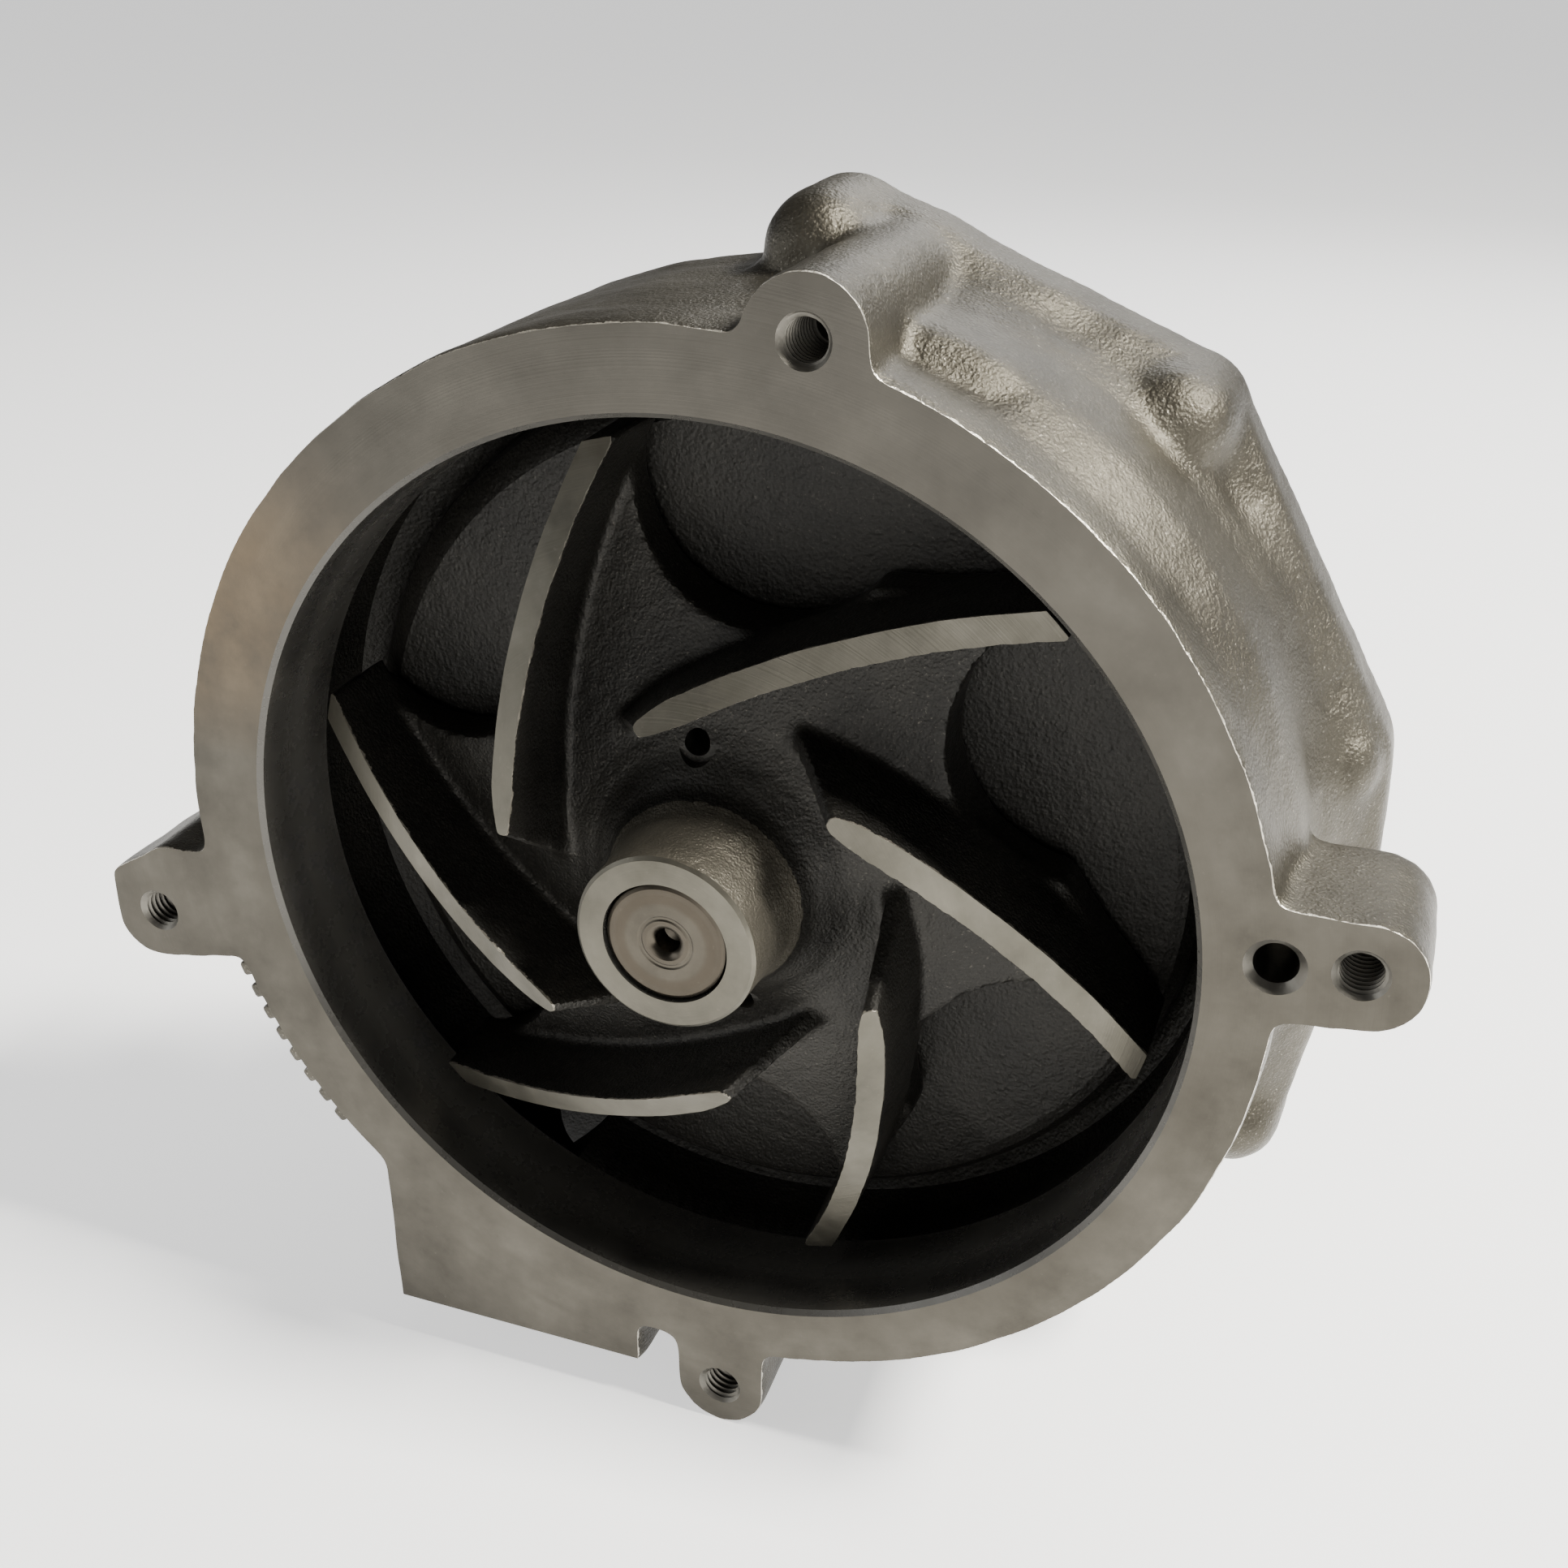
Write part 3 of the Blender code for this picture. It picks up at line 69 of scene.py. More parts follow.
def addNode(tree, kind, inputs=None, **settings):
    made = tree.nodes.new(kind)
    for key, value in settings.items():
        setattr(made, key, value)
    for key, value in (inputs or {}).items():
        if isinstance(value, bpy.types.NodeSocket):
            tree.links.new(value, made.inputs[key])
        else:
            made.inputs[key].default_value = value
    return made


def mathNode(tree, operation, a, b=0.0, clamp=False):
    made = addNode(tree, "ShaderNodeMath", {0: a, 1: b}, operation=operation, use_clamp=clamp)
    return made.outputs[0]


def mixColour(tree, factor, a, b, blend="MIX"):
    made = addNode(tree, "ShaderNodeMix", data_type="RGBA", blend_type=blend)
    for socket, value in (("Factor_Float", factor), ("A_Color", a), ("B_Color", b)):
        target = next(s for s in made.inputs if s.identifier == socket)
        if isinstance(value, bpy.types.NodeSocket):
            tree.links.new(value, target)
        elif socket == "Factor_Float":
            target.default_value = value
        else:
            target.default_value = (*value, 1.0)
    return next(s for s in made.outputs if s.identifier == "Result_Color")


def rangeNode(tree, value, low, high, toLow=0.0, toHigh=1.0):
    made = addNode(tree, "ShaderNodeMapRange",
                   {"Value": value, "From Min": low, "From Max": high, "To Min": toLow, "To Max": toHigh})
    return made.outputs[0]


def noiseNode(tree, vector, scale, detail=3.0, rough=0.55):
    made = addNode(tree, "ShaderNodeTexNoise", {"Vector": vector, "Scale": scale, "Detail": detail,
                                                "Roughness": rough})
    return made.outputs["Fac"]


def newGroup(name, inputs, outputs):
    group = bpy.data.node_groups.new(name, "ShaderNodeTree")
    for label, kind, value in inputs:
        socket = group.interface.new_socket(label, in_out="INPUT", socket_type=kind)
        if value is not None:
            socket.default_value = value
    for label in outputs:
        group.interface.new_socket(label, in_out="OUTPUT", socket_type="NodeSocketFloat")
    start = group.nodes.new("NodeGroupInput")
    end = group.nodes.new("NodeGroupOutput")
    return group, start.outputs, end.inputs


def placeGroup(tree, group, inputs):
    made = addNode(tree, "ShaderNodeGroup", node_tree=group)
    for key, value in inputs.items():
        if isinstance(value, bpy.types.NodeSocket):
            tree.links.new(value, made.inputs[key])
        else:
            made.inputs[key].default_value = value
    return made.outputs


# ---- shared surface effects

def buildSandCastGroup():
    # grains of a sand mould, with slow swells and pits between them
    group, given, out = newGroup("sandCast", [("Vector", "NodeSocketVector", None),
                                              ("Grain Size", "NodeSocketFloat", 0.0009)],
                                 ["Height", "Patches", "Sparkle"])
    density = mathNode(group, "DIVIDE", 1.0, given["Grain Size"])
    grains = addNode(group, "ShaderNodeTexVoronoi", {"Vector": given["Vector"], "Scale": density},
                     feature="SMOOTH_F1")
    grain = mathNode(group, "SUBTRACT", 1.0, grains.outputs["Distance"])
    slowDensity = mathNode(group, "MULTIPLY", density, 0.22)
    swell = noiseNode(group, given["Vector"], slowDensity, 3.0)
    fine = noiseNode(group, given["Vector"], density, 4.0, 0.7)
    mixed = mathNode(group, "MULTIPLY", grain, 0.42)
    summed = mathNode(group, "ADD", mixed, mathNode(group, "MULTIPLY", swell, 0.9))
    summed = mathNode(group, "ADD", summed, mathNode(group, "MULTIPLY", fine, 0.55))
    group.links.new(summed, out["Height"])
    patches = noiseNode(group, given["Vector"], 34.0, 4.0, 0.6)
    group.links.new(rangeNode(group, patches, 0.34, 0.66), out["Patches"])
    # Sparkle marks the brightest fine-grain spots; castMaterial paints them into the base colour as
    # highlights
    group.links.new(rangeNode(group, fine, 0.60, 0.80), out["Sparkle"])
    return group


def buildTurnedGroup():
    # fine tool rings round the shaft's axis, broken up a little
    group, given, out = newGroup("turnedRings", [("Vector", "NodeSocketVector", None),
                                                 ("Pitch", "NodeSocketFloat", 0.00035),
                                                 ("Along", "NodeSocketFloat", 0.0)],
                                 ["Height", "Bands"])
    parts = addNode(group, "ShaderNodeSeparateXYZ", {"Vector": given["Vector"]})
    squareX = mathNode(group, "MULTIPLY", parts.outputs["X"], parts.outputs["X"])
    squareZ = mathNode(group, "MULTIPLY", parts.outputs["Z"], parts.outputs["Z"])
    radius = mathNode(group, "SQRT", mathNode(group, "ADD", squareX, squareZ))
    along = mathNode(group, "MULTIPLY", parts.outputs["Y"], given["Along"])
    reach = mathNode(group, "ADD", radius, along)
    step = mathNode(group, "DIVIDE", reach, given["Pitch"])
    rings = addNode(group, "ShaderNodeTexNoise", {"W": step, "Scale": 1.0, "Detail": 2.0},
                    noise_dimensions="1D")
    broad = addNode(group, "ShaderNodeTexNoise", {"W": mathNode(group, "MULTIPLY", step, 0.08),
                                                  "Scale": 1.0, "Detail": 2.0}, noise_dimensions="1D")
    group.links.new(rings.outputs["Fac"], out["Height"])
    group.links.new(rangeNode(group, broad.outputs["Fac"], 0.36, 0.64), out["Bands"])
    return group


def buildHandlingGroup():
    # cloudy stains, small nicks and finger marks on bare machined metal
    group, given, out = newGroup("handling", [("Vector", "NodeSocketVector", None)],
                                 ["Clouds", "Nicks", "Smudge"])
    clouds = noiseNode(group, given["Vector"], 42.0, 6.0, 0.62)
    nicks = noiseNode(group, given["Vector"], 900.0, 2.0, 0.5)
    smudge = noiseNode(group, given["Vector"], 130.0, 5.0, 0.7)
    group.links.new(rangeNode(group, clouds, 0.32, 0.68), out["Clouds"])
    group.links.new(rangeNode(group, nicks, 0.68, 0.76), out["Nicks"])
    group.links.new(rangeNode(group, smudge, 0.38, 0.64), out["Smudge"])
    return group


def buildRimGroup():
    # a ragged band, a fraction of a millimetre wide, where a cut surface starts
    group, given, out = newGroup("cutRim", [("Vector", "NodeSocketVector", None),
                                            ("Cone Start", "NodeSocketFloat", 0.0),
                                            ("Cone Slope", "NodeSocketFloat", 0.0),
                                            ("Width", "NodeSocketFloat", 0.0006)], ["Rim"])
    parts = addNode(group, "ShaderNodeSeparateXYZ", {"Vector": given["Vector"]})
    squareX = mathNode(group, "MULTIPLY", parts.outputs["X"], parts.outputs["X"])
    squareZ = mathNode(group, "MULTIPLY", parts.outputs["Z"], parts.outputs["Z"])
    radius = mathNode(group, "SQRT", mathNode(group, "ADD", squareX, squareZ))
    surface = mathNode(group, "ADD", given["Cone Start"],
                       mathNode(group, "MULTIPLY", radius, given["Cone Slope"]))
    depth = mathNode(group, "SUBTRACT", parts.outputs["Y"], surface)
    ragged = noiseNode(group, given["Vector"], 420.0, 4.0, 0.7)
    edge = mathNode(group, "MULTIPLY", given["Width"], rangeNode(group, ragged, 0.35, 0.65, 0.0, 2.2))
    group.links.new(mathNode(group, "LESS_THAN", depth, edge), out["Rim"])
    return group


sandCast = buildSandCastGroup()
turnedRings = buildTurnedGroup()
handling = buildHandlingGroup()
cutRim = buildRimGroup()


def startMaterial(name):
    material = bpy.data.materials.new(name)
    material.use_nodes = True
    tree = material.node_tree
    tree.nodes.clear()
    shader = addNode(tree, "ShaderNodeBsdfPrincipled")
    addNode(tree, "ShaderNodeOutputMaterial", {"Surface": shader.outputs[0]})
    coords = addNode(tree, "ShaderNodeTexCoord").outputs["Object"]
    return material, tree, shader, coords


def setBump(tree, shader, height, strength, distance):
    bump = addNode(tree, "ShaderNodeBump", {"Height": height, "Strength": strength, "Distance": distance})
    tree.links.new(bump.outputs[0], shader.inputs["Normal"])


def plug(tree, shader, name, value):
    if isinstance(value, bpy.types.NodeSocket):
        tree.links.new(value, shader.inputs[name])
    else:
        shader.inputs[name].default_value = (*value, 1.0) if name == "Base Color" else value


def castMaterial(name, look):
    material, tree, shader, coords = startMaterial(name)
    sand = placeGroup(tree, sandCast, {"Vector": coords, "Grain Size": look["grain"]})
    colour = mixColour(tree, sand["Patches"], look["dark"], look["light"])
    # painted highlight: the Sparkle spots are mixed toward the pale glint colour, standing in for glints of
    # light on the grains
    colour = mixColour(tree, mathNode(tree, "MULTIPLY", sand["Sparkle"], look["paintedGlintShare"]), colour,
                       look["paintedGlint"])
    rough = rangeNode(tree, sand["Sparkle"], 0.0, 1.0, look["rough"], look["rough"] - 0.12)
    if "rim" in look:
        rim = placeGroup(tree, cutRim, {"Vector": coords, **look["rim"]})["Rim"]
        # the rim band at a cut edge takes the same pale colour: partly bare cut metal, partly a painted
        # highlight along the edge
        colour = mixColour(tree, rim, colour, look["paintedGlint"])
        rough = mathNode(tree, "SUBTRACT", rough, mathNode(tree, "MULTIPLY", rim, 0.12))
    plug(tree, shader, "Base Color", colour)
    plug(tree, shader, "Roughness", rough)
    shader.inputs["Metallic"].default_value = look["metal"]
    setBump(tree, shader, sand["Height"], look["bump"], look["grain"] * 0.55)
    return material


def machinedMaterial(name, look):
    material, tree, shader, coords = startMaterial(name)
    rings = placeGroup(tree, turnedRings, {"Vector": coords, "Pitch": look["pitch"], "Along": look["along"]})
    marks = placeGroup(tree, handling, {"Vector": coords})
    colour = mixColour(tree, marks["Clouds"], look["dark"], look["light"])
    colour = mixColour(tree, mathNode(tree, "MULTIPLY", rings["Bands"], look["bands"]), colour, look["band"])
    colour = mixColour(tree, mathNode(tree, "MULTIPLY", marks["Nicks"], 0.35), colour, look["light"])
    if "tintAndShade" in look:
        colour = look["tintAndShade"](tree, coords, marks, colour)
    plug(tree, shader, "Base Color", colour)
    rough = rangeNode(tree, marks["Smudge"], 0.0, 1.0, look["rough"], look["rough"] + look["roughSpread"])
    plug(tree, shader, "Roughness", rough)
    shader.inputs["Metallic"].default_value = look["metal"]
    setBump(tree, shader, rings["Height"], look["bump"], look["pitch"] * 0.3)
    return material


def plainMaterial(name, look):
    material, tree, shader, coords = startMaterial(name)
    wear = noiseNode(tree, coords, look["scale"], 5.0, 0.6)
    fine = noiseNode(tree, coords, look["scale"] * 14, 3.0, 0.6)
    colour = mixColour(tree, rangeNode(tree, wear, 0.35, 0.65), look["dark"], look["light"])
    plug(tree, shader, "Base Color", colour)
    plug(tree, shader, "Roughness", rangeNode(tree, wear, 0.3, 0.7, look["rough"], look["rough"] + 0.12))
    shader.inputs["Metallic"].default_value = look["metal"]
    shader.inputs["Coat Weight"].default_value = look.get("coat", 0.0)
    setBump(tree, shader, fine, look["bump"], 0.0002)
    return material


def faceTintAndShade(tree, coords, marks, colour):
    # straw and violet heat tint low on the left of the ring; painted shade makes the face darker towards the
    # top
    parts = addNode(tree, "ShaderNodeSeparateXYZ", {"Vector": coords})
    leftness = rangeNode(tree, parts.outputs["X"], -0.050, -0.092)
    upness = rangeNode(tree, parts.outputs["Z"], 0.015, 0.060)
    lowness = rangeNode(tree, parts.outputs["Z"], 0.085, 0.040)
    patch = mathNode(tree, "MULTIPLY", leftness, mathNode(tree, "MULTIPLY", upness, lowness))
    patch = mathNode(tree, "MULTIPLY", patch, rangeNode(tree, marks["Clouds"], 0.2, 0.8, 0.35, 1.0))
    straw = mixColour(tree, mathNode(tree, "MULTIPLY", patch, 0.55), colour, (0.34, 0.21, 0.09))
    # painted shade: the face is mixed toward a dark colour towards the top
    shade = rangeNode(tree, parts.outputs["Z"], 0.00, 0.105)
    return mixColour(tree, mathNode(tree, "MULTIPLY", shade, 0.42), straw, (0.10, 0.095, 0.085))


# the pale glint colour in each cast look is a painted highlight put into the base colour
castLook = {"grain": 0.00055, "dark": (0.055, 0.050, 0.039), "light": (0.098, 0.090, 0.071),
            "paintedGlint": (0.80, 0.75, 0.64), "paintedGlintShare": 0.60, "rough": 0.40, "metal": 0.85, "bump": 0.95,
            "rim": {"Cone Start": 0.0, "Cone Slope": 0.0, "Width": 0.00026}}
# painted shade: a much darker copy of the cast iron for the inside of the casing (chamber, channel, outlet
# port and rear recess), which lies in shadow
shadedInnerLook = {"grain": 0.0007, "dark": (0.011, 0.0102, 0.0085), "light": (0.022, 0.0205, 0.0172),
               "paintedGlint": (0.20, 0.185, 0.155), "paintedGlintShare": 0.40, "rough": 0.48, "metal": 0.45, "bump": 0.9}
# painted shade: a darker copy of the cast iron for the impeller, which sits in shadow inside the chamber
shadedImpellerLook = {"grain": 0.00055, "dark": (0.012, 0.0112, 0.0095), "light": (0.026, 0.0243, 0.0205),
                "paintedGlint": (0.26, 0.24, 0.20), "paintedGlintShare": 0.50, "rough": 0.44, "metal": 0.55, "bump": 0.9,
                "rim": {"Cone Start": -0.0155, "Cone Slope": 0.354, "Width": 0.0003}}
# painted light: a paler copy of the same iron for the impeller hub's cast side, which stands forward into the
# light
litHubCastLook = {"grain": 0.0005, "dark": (0.085, 0.078, 0.062), "light": (0.16, 0.147, 0.118),
               "paintedGlint": (0.50, 0.47, 0.39), "paintedGlintShare": 0.60, "rough": 0.42, "metal": 0.75, "bump": 1.0}
faceLook = {"pitch": 0.00045, "along": 0.0, "dark": (0.046, 0.042, 0.034), "light": (0.105, 0.097, 0.080),
            "band": (0.070, 0.064, 0.052), "bands": 0.40, "rough": 0.34, "roughSpread": 0.12, "metal": 0.9,
            "bump": 0.12, "tintAndShade": faceTintAndShade}
boreLook = {"pitch": 0.0005, "along": 1.0, "dark": (0.042, 0.040, 0.036), "light": (0.070, 0.067, 0.060),
            "band": (0.12, 0.115, 0.102), "bands": 0.30, "rough": 0.24, "roughSpread": 0.08, "metal": 0.5,
            "bump": 0.10}
vaneLook = {"pitch": 0.00040, "along": 0.3, "dark": (0.070, 0.066, 0.053), "light": (0.150, 0.141, 0.116),
            "band": (0.10, 0.094, 0.075), "bands": 0.4, "rough": 0.34, "roughSpread": 0.14, "metal": 0.9,
            "bump": 0.16}
shaftLook = {"pitch": 0.00030, "along": 0.7, "dark": (0.040, 0.036, 0.029), "light": (0.095, 0.086, 0.070),
             "band": (0.060, 0.050, 0.038), "bands": 0.7, "rough": 0.30, "roughSpread": 0.14, "metal": 1.0,
             "bump": 0.20}
threadLook = {"pitch": 0.00060, "along": 1.0, "dark": (0.10, 0.095, 0.085), "light": (0.24, 0.23, 0.20),
              "band": (0.16, 0.15, 0.13), "bands": 0.5, "rough": 0.34, "roughSpread": 0.2, "metal": 1.0,
              "bump": 0.10}
zincLook = {"pitch": 0.00050, "along": 0.5, "dark": (0.42, 0.41, 0.37), "light": (0.60, 0.59, 0.55),
            "band": (0.50, 0.49, 0.44), "bands": 0.3, "rough": 0.32, "roughSpread": 0.16, "metal": 0.95,
            "bump": 0.08}
bearingLook = {"pitch": 0.00025, "along": 0.6, "dark": (0.52, 0.52, 0.53), "light": (0.68, 0.68, 0.70),
               "band": (0.60, 0.60, 0.62), "bands": 0.3, "rough": 0.16, "roughSpread": 0.10, "metal": 1.0,
               "bump": 0.05}
cageLook = {"pitch": 0.00060, "along": 0.4, "dark": (0.42, 0.38, 0.30), "light": (0.56, 0.51, 0.42),
            "band": (0.50, 0.45, 0.36), "bands": 0.3, "rough": 0.32, "roughSpread": 0.15, "metal": 0.9,
            "bump": 0.08}
pulleyLook = {"scale": 60.0, "dark": (0.012, 0.012, 0.013), "light": (0.022, 0.022, 0.024), "rough": 0.30,
              "metal": 0.0, "bump": 0.18, "coat": 0.25}
rubberLook = {"scale": 160.0, "dark": (0.012, 0.012, 0.012), "light": (0.028, 0.028, 0.027), "rough": 0.62,
              "metal": 0.0, "bump": 0.25}
fibreLook = {"scale": 300.0, "dark": (0.10, 0.085, 0.06), "light": (0.20, 0.17, 0.12), "rough": 0.8,
             "metal": 0.0, "bump": 0.6}
ceramicLook = {"scale": 90.0, "dark": (0.62, 0.60, 0.55), "light": (0.74, 0.72, 0.67), "rough": 0.18,
               "metal": 0.0, "bump": 0.05}
carbonLook = {"scale": 200.0, "dark": (0.018, 0.018, 0.020), "light": (0.040, 0.040, 0.043), "rough": 0.34,
              "metal": 0.1, "bump": 0.08}

castIron = castMaterial("castIron", castLook)
# painted shade: the inner iron is the casing iron darkened for the shadow inside
shadedInnerIron = castMaterial("shadedInnerIron", shadedInnerLook)
shadedImpellerIron = castMaterial("shadedImpellerIron", shadedImpellerLook)
litHubIron = castMaterial("litHubIron", litHubCastLook)
machinedFace = machinedMaterial("machinedFace", faceLook)
boreWall = machinedMaterial("boreWall", boreLook)
vaneEdge = machinedMaterial("vaneEdge", vaneLook)
shaftSteel = machinedMaterial("shaftSteel", shaftLook)
threadSteel = machinedMaterial("threadSteel", threadLook)
zincPlate = machinedMaterial("zincPlate", zincLook)
bearingSteel = machinedMaterial("bearingSteel", bearingLook)
cageSteel = machinedMaterial("cageSteel", cageLook)
pulleyPaint = plainMaterial("pulleyPaint", pulleyLook)
blackRubber = plainMaterial("blackRubber", rubberLook)
gasketFibre = plainMaterial("gasketFibre", fibreLook)
sealCeramic = plainMaterial("sealCeramic", ceramicLook)
sealCarbon = plainMaterial("sealCarbon", carbonLook)
print("materials ready")


# ---- shapes

def meshFrom(bm, name, material=None):
    bmesh.ops.remove_doubles(bm, verts=bm.verts, dist=0.000002)
    bmesh.ops.recalc_face_normals(bm, faces=bm.faces)
    mesh = bpy.data.meshes.new(name)
    bm.to_mesh(mesh)
    bm.free()
    made = bpy.data.objects.new(name, mesh)
    bpy.context.scene.collection.objects.link(made)
    if material:
        mesh.materials.append(material)
    return made


def spinProfile(profile, steps, closed=False):
    # (radius, y) points turned about the shaft's axis
    bm = bmesh.new()
    verts = [bm.verts.new((r, y, 0)) for r, y in profile]
    edges = [bm.edges.new(pair) for pair in zip(verts, verts[1:])]
    if closed:
        edges.append(bm.edges.new((verts[-1], verts[0])))
    bmesh.ops.spin(bm, geom=verts + edges, cent=(0, 0, 0), axis=(0, 1, 0), angle=math.tau,
                   steps=steps, use_merge=True)
    bmesh.ops.remove_doubles(bm, verts=bm.verts, dist=0.000002)
    return bm


def extrudeOutline(outline, y0, y1):
    bm = bmesh.new()
    face = bm.faces.new([bm.verts.new((x, y0, z)) for x, z in outline])
    made = bmesh.ops.extrude_face_region(bm, geom=[face])
    moved = [g for g in made["geom"] if isinstance(g, bmesh.types.BMVert)]
    bmesh.ops.translate(bm, verts=moved, vec=(0, y1 - y0, 0))
    return bm


def loftSections(sections, segments=160):
    # each section is (y, radius for an angle in degrees); neighbours are bridged
    bm = bmesh.new()
    lay = Matrix.Rotation(rad(90), 4, "X")
    before = None
    for y, radiusAt in sections:
        circle = bmesh.ops.create_circle(bm, segments=segments, radius=1.0, matrix=lay)["verts"]
        for vert in circle:
            angle = math.degrees(math.atan2(vert.co.z, vert.co.x))
            x, z = polar(radiusAt(angle), angle)
            vert.co = (x, y, z)
        edges = list({edge for vert in circle for edge in vert.link_edges})
        if before:
            bmesh.ops.bridge_loops(bm, edges=before + edges)
        before = edges
    bmesh.ops.holes_fill(bm, edges=[e for e in bm.edges if e.is_boundary], sides=0)
    return bm


def arcPoints(centre, radius, start, end, steps):
    found = []
    for i in range(steps + 1):
        x, z = polar(radius, start + (end - start) * i / steps)
        found.append((centre[0] + x, centre[1] + z))
    return found


def moveTo(bm, x, z):
    bmesh.ops.translate(bm, verts=bm.verts, vec=(x, 0, z))
    return bm


def joinAll(shells, name, material):
    whole = bmesh.new()
    for shell in shells:
        bmesh.ops.recalc_face_normals(shell, faces=shell.faces)
        mesh = bpy.data.meshes.new("shell")
        shell.to_mesh(mesh)
        shell.free()
        whole.from_mesh(mesh)
        bpy.data.meshes.remove(mesh)
    mesh = bpy.data.meshes.new(name)
    whole.to_mesh(mesh)
    whole.free()
    made = bpy.data.objects.new(name, mesh)
    bpy.context.scene.collection.objects.link(made)
    mesh.materials.append(material)
    return made


def applyModifiers(piece):
    bpy.context.view_layer.update()
    graph = bpy.context.evaluated_depsgraph_get()
    mesh = bpy.data.meshes.new_from_object(piece.evaluated_get(graph))
    piece.modifiers.clear()
    piece.data = mesh


def meltTogether(piece, voxel, smoothing):
    # overlapping shells become one skin, and smoothing gives it cast fillets
    remesh = piece.modifiers.new("melt", "REMESH")
    remesh.mode = "VOXEL"
    remesh.voxel_size = voxel
    smooth = piece.modifiers.new("soften", "SMOOTH")
    smooth.factor = 0.5
    smooth.iterations = smoothing
    applyModifiers(piece)


def roughen(piece, depth, scale):
    normals = [vert.normal.copy() for vert in piece.data.vertices]
    for vert, normal in zip(piece.data.vertices, normals):
        vert.co += normal * depth * noise.fractal(vert.co * scale, 1.0, 2.0, 3)


def swell(piece, places):
    # soft lumps (or hollows) raised on a cast skin, each along a short line
    normals = [vert.normal.copy() for vert in piece.data.vertices]
    for start, end, radius, height in places:
        start, end = Vector(start), Vector(end)
        line = end - start
        for vert, normal in zip(piece.data.vertices, normals):
            share = max(0.0, min(1.0, (vert.co - start).dot(line) / max(line.length_squared, 1e-12)))
            reach = (vert.co - start - line * share).length / radius
            if reach < 1.0:
                vert.co += normal * height * (1 - reach * reach) ** 2


def carve(piece, cutters, operation="DIFFERENCE"):
    # one pass with every cutter; cut faces take the cutter's material
    tools = bpy.data.collections.new("tools")
    bpy.context.scene.collection.children.link(tools)
    for cutter in cutters:
        bpy.context.scene.collection.objects.unlink(cutter)
        tools.objects.link(cutter)
    boolean = piece.modifiers.new("carve", "BOOLEAN")
    boolean.operation = operation
    boolean.solver = "MANIFOLD"
    boolean.operand_type = "COLLECTION"
    boolean.collection = tools
    boolean.material_mode = "TRANSFER"
    applyModifiers(piece)
    for cutter in cutters:
        bpy.data.objects.remove(cutter, do_unlink=True)
    bpy.data.collections.remove(tools)


def finishPiece(piece, body, nodes, sharp=26):
    bm = bmesh.new()
    bm.from_mesh(piece.data)
    bmesh.ops.remove_doubles(bm, verts=bm.verts, dist=0.000003)
    bmesh.ops.dissolve_degenerate(bm, dist=0.000002, edges=bm.edges)
    openEdges = sum(1 for edge in bm.edges if not edge.is_manifold)
    bm.to_mesh(piece.data)
    bm.free()
    piece.data.shade_smooth()
    piece.data.set_sharp_from_angle(angle=rad(sharp))
    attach(piece, body)
    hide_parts(*nodes)
    print(piece.name, len(piece.data.polygons), "faces,", openEdges, "open edges")


def threadCutter(radius, countersink, depth, pitch, material, steps=22):
    # a true helix: each turn of the profile climbs one pitch, so its ends meet
    turns = int(depth / pitch)
    tooth = pitch * 0.54
    bm = bmesh.new()
    profile = []
    for i in range(turns):
        y = i * pitch - pitch
        profile += [(radius, y), (radius, y + pitch * 0.18), (radius + tooth, y + pitch * 0.5),
                    (radius + tooth, y + pitch * 0.62)]
    profile.append((radius, turns * pitch - pitch))
    verts = [bm.verts.new((r, y, 0)) for r, y in profile]
    edges = [bm.edges.new(pair) for pair in zip(verts, verts[1:])]
    bmesh.ops.spin(bm, geom=verts + edges, cent=(0, 0, 0), axis=(0, 1, 0), dvec=(0, pitch / steps, 0),
                   angle=math.tau, steps=steps, use_merge=False)
    bmesh.ops.remove_doubles(bm, verts=bm.verts, dist=0.000002)
    bmesh.ops.holes_fill(bm, edges=[e for e in bm.edges if e.is_boundary], sides=0)
    bmesh.ops.triangulate(bm, faces=[f for f in bm.faces if len(f.verts) > 4])
    helix = meshFrom(bm, "helix", material)
    mouth = spinProfile([(0, -0.003), (countersink + 0.003, -0.003),
                         (radius - 0.0003, countersink - radius + 0.0003),
                         (radius - 0.0003, depth + 0.0020), (0, depth + 0.0040)], 40)
    return [helix, meshFrom(mouth, "mouth", material)]


def drillCutter(radius, countersink, depth, material, y0=0.0, way=1.0, steps=40):
    flare = countersink - radius
    run = [(0, -0.003), (countersink + 0.003, -0.003), (radius, flare), (radius, depth),
           (0, depth + radius * 0.55)]
    bm = spinProfile([(r, y0 + way * y) for r, y in run], steps)
    return meshFrom(bm, "drill", material)


def shiftObject(piece, x, z):
    piece.data.transform(Matrix.Translation((x, 0, z)))
    return piece


def tableValue(table, angle):
    # straight-line reading of an (angle, value) table that goes right round
    angle = (angle - table[0][0]) % 360 + table[0][0]
    rows = table + [(table[0][0] + 360, table[0][1])]
    for (a, low), (b, high) in zip(rows, rows[1:]):
        if a <= angle <= b:
            share = (angle - a) / (b - a)
            share = share * share * (3 - 2 * share)
            return low + (high - low) * share
    return rows[0][1]


def offCentre(radius, shift, angle):
    # distance from the bore's axis to a circle whose centre is shifted
    ux, uz = math.cos(rad(angle)), math.sin(rad(angle))
    along = shift[0] * ux + shift[1] * uz
    return along + math.sqrt(radius ** 2 - (shift[0] ** 2 + shift[1] ** 2) + along ** 2)


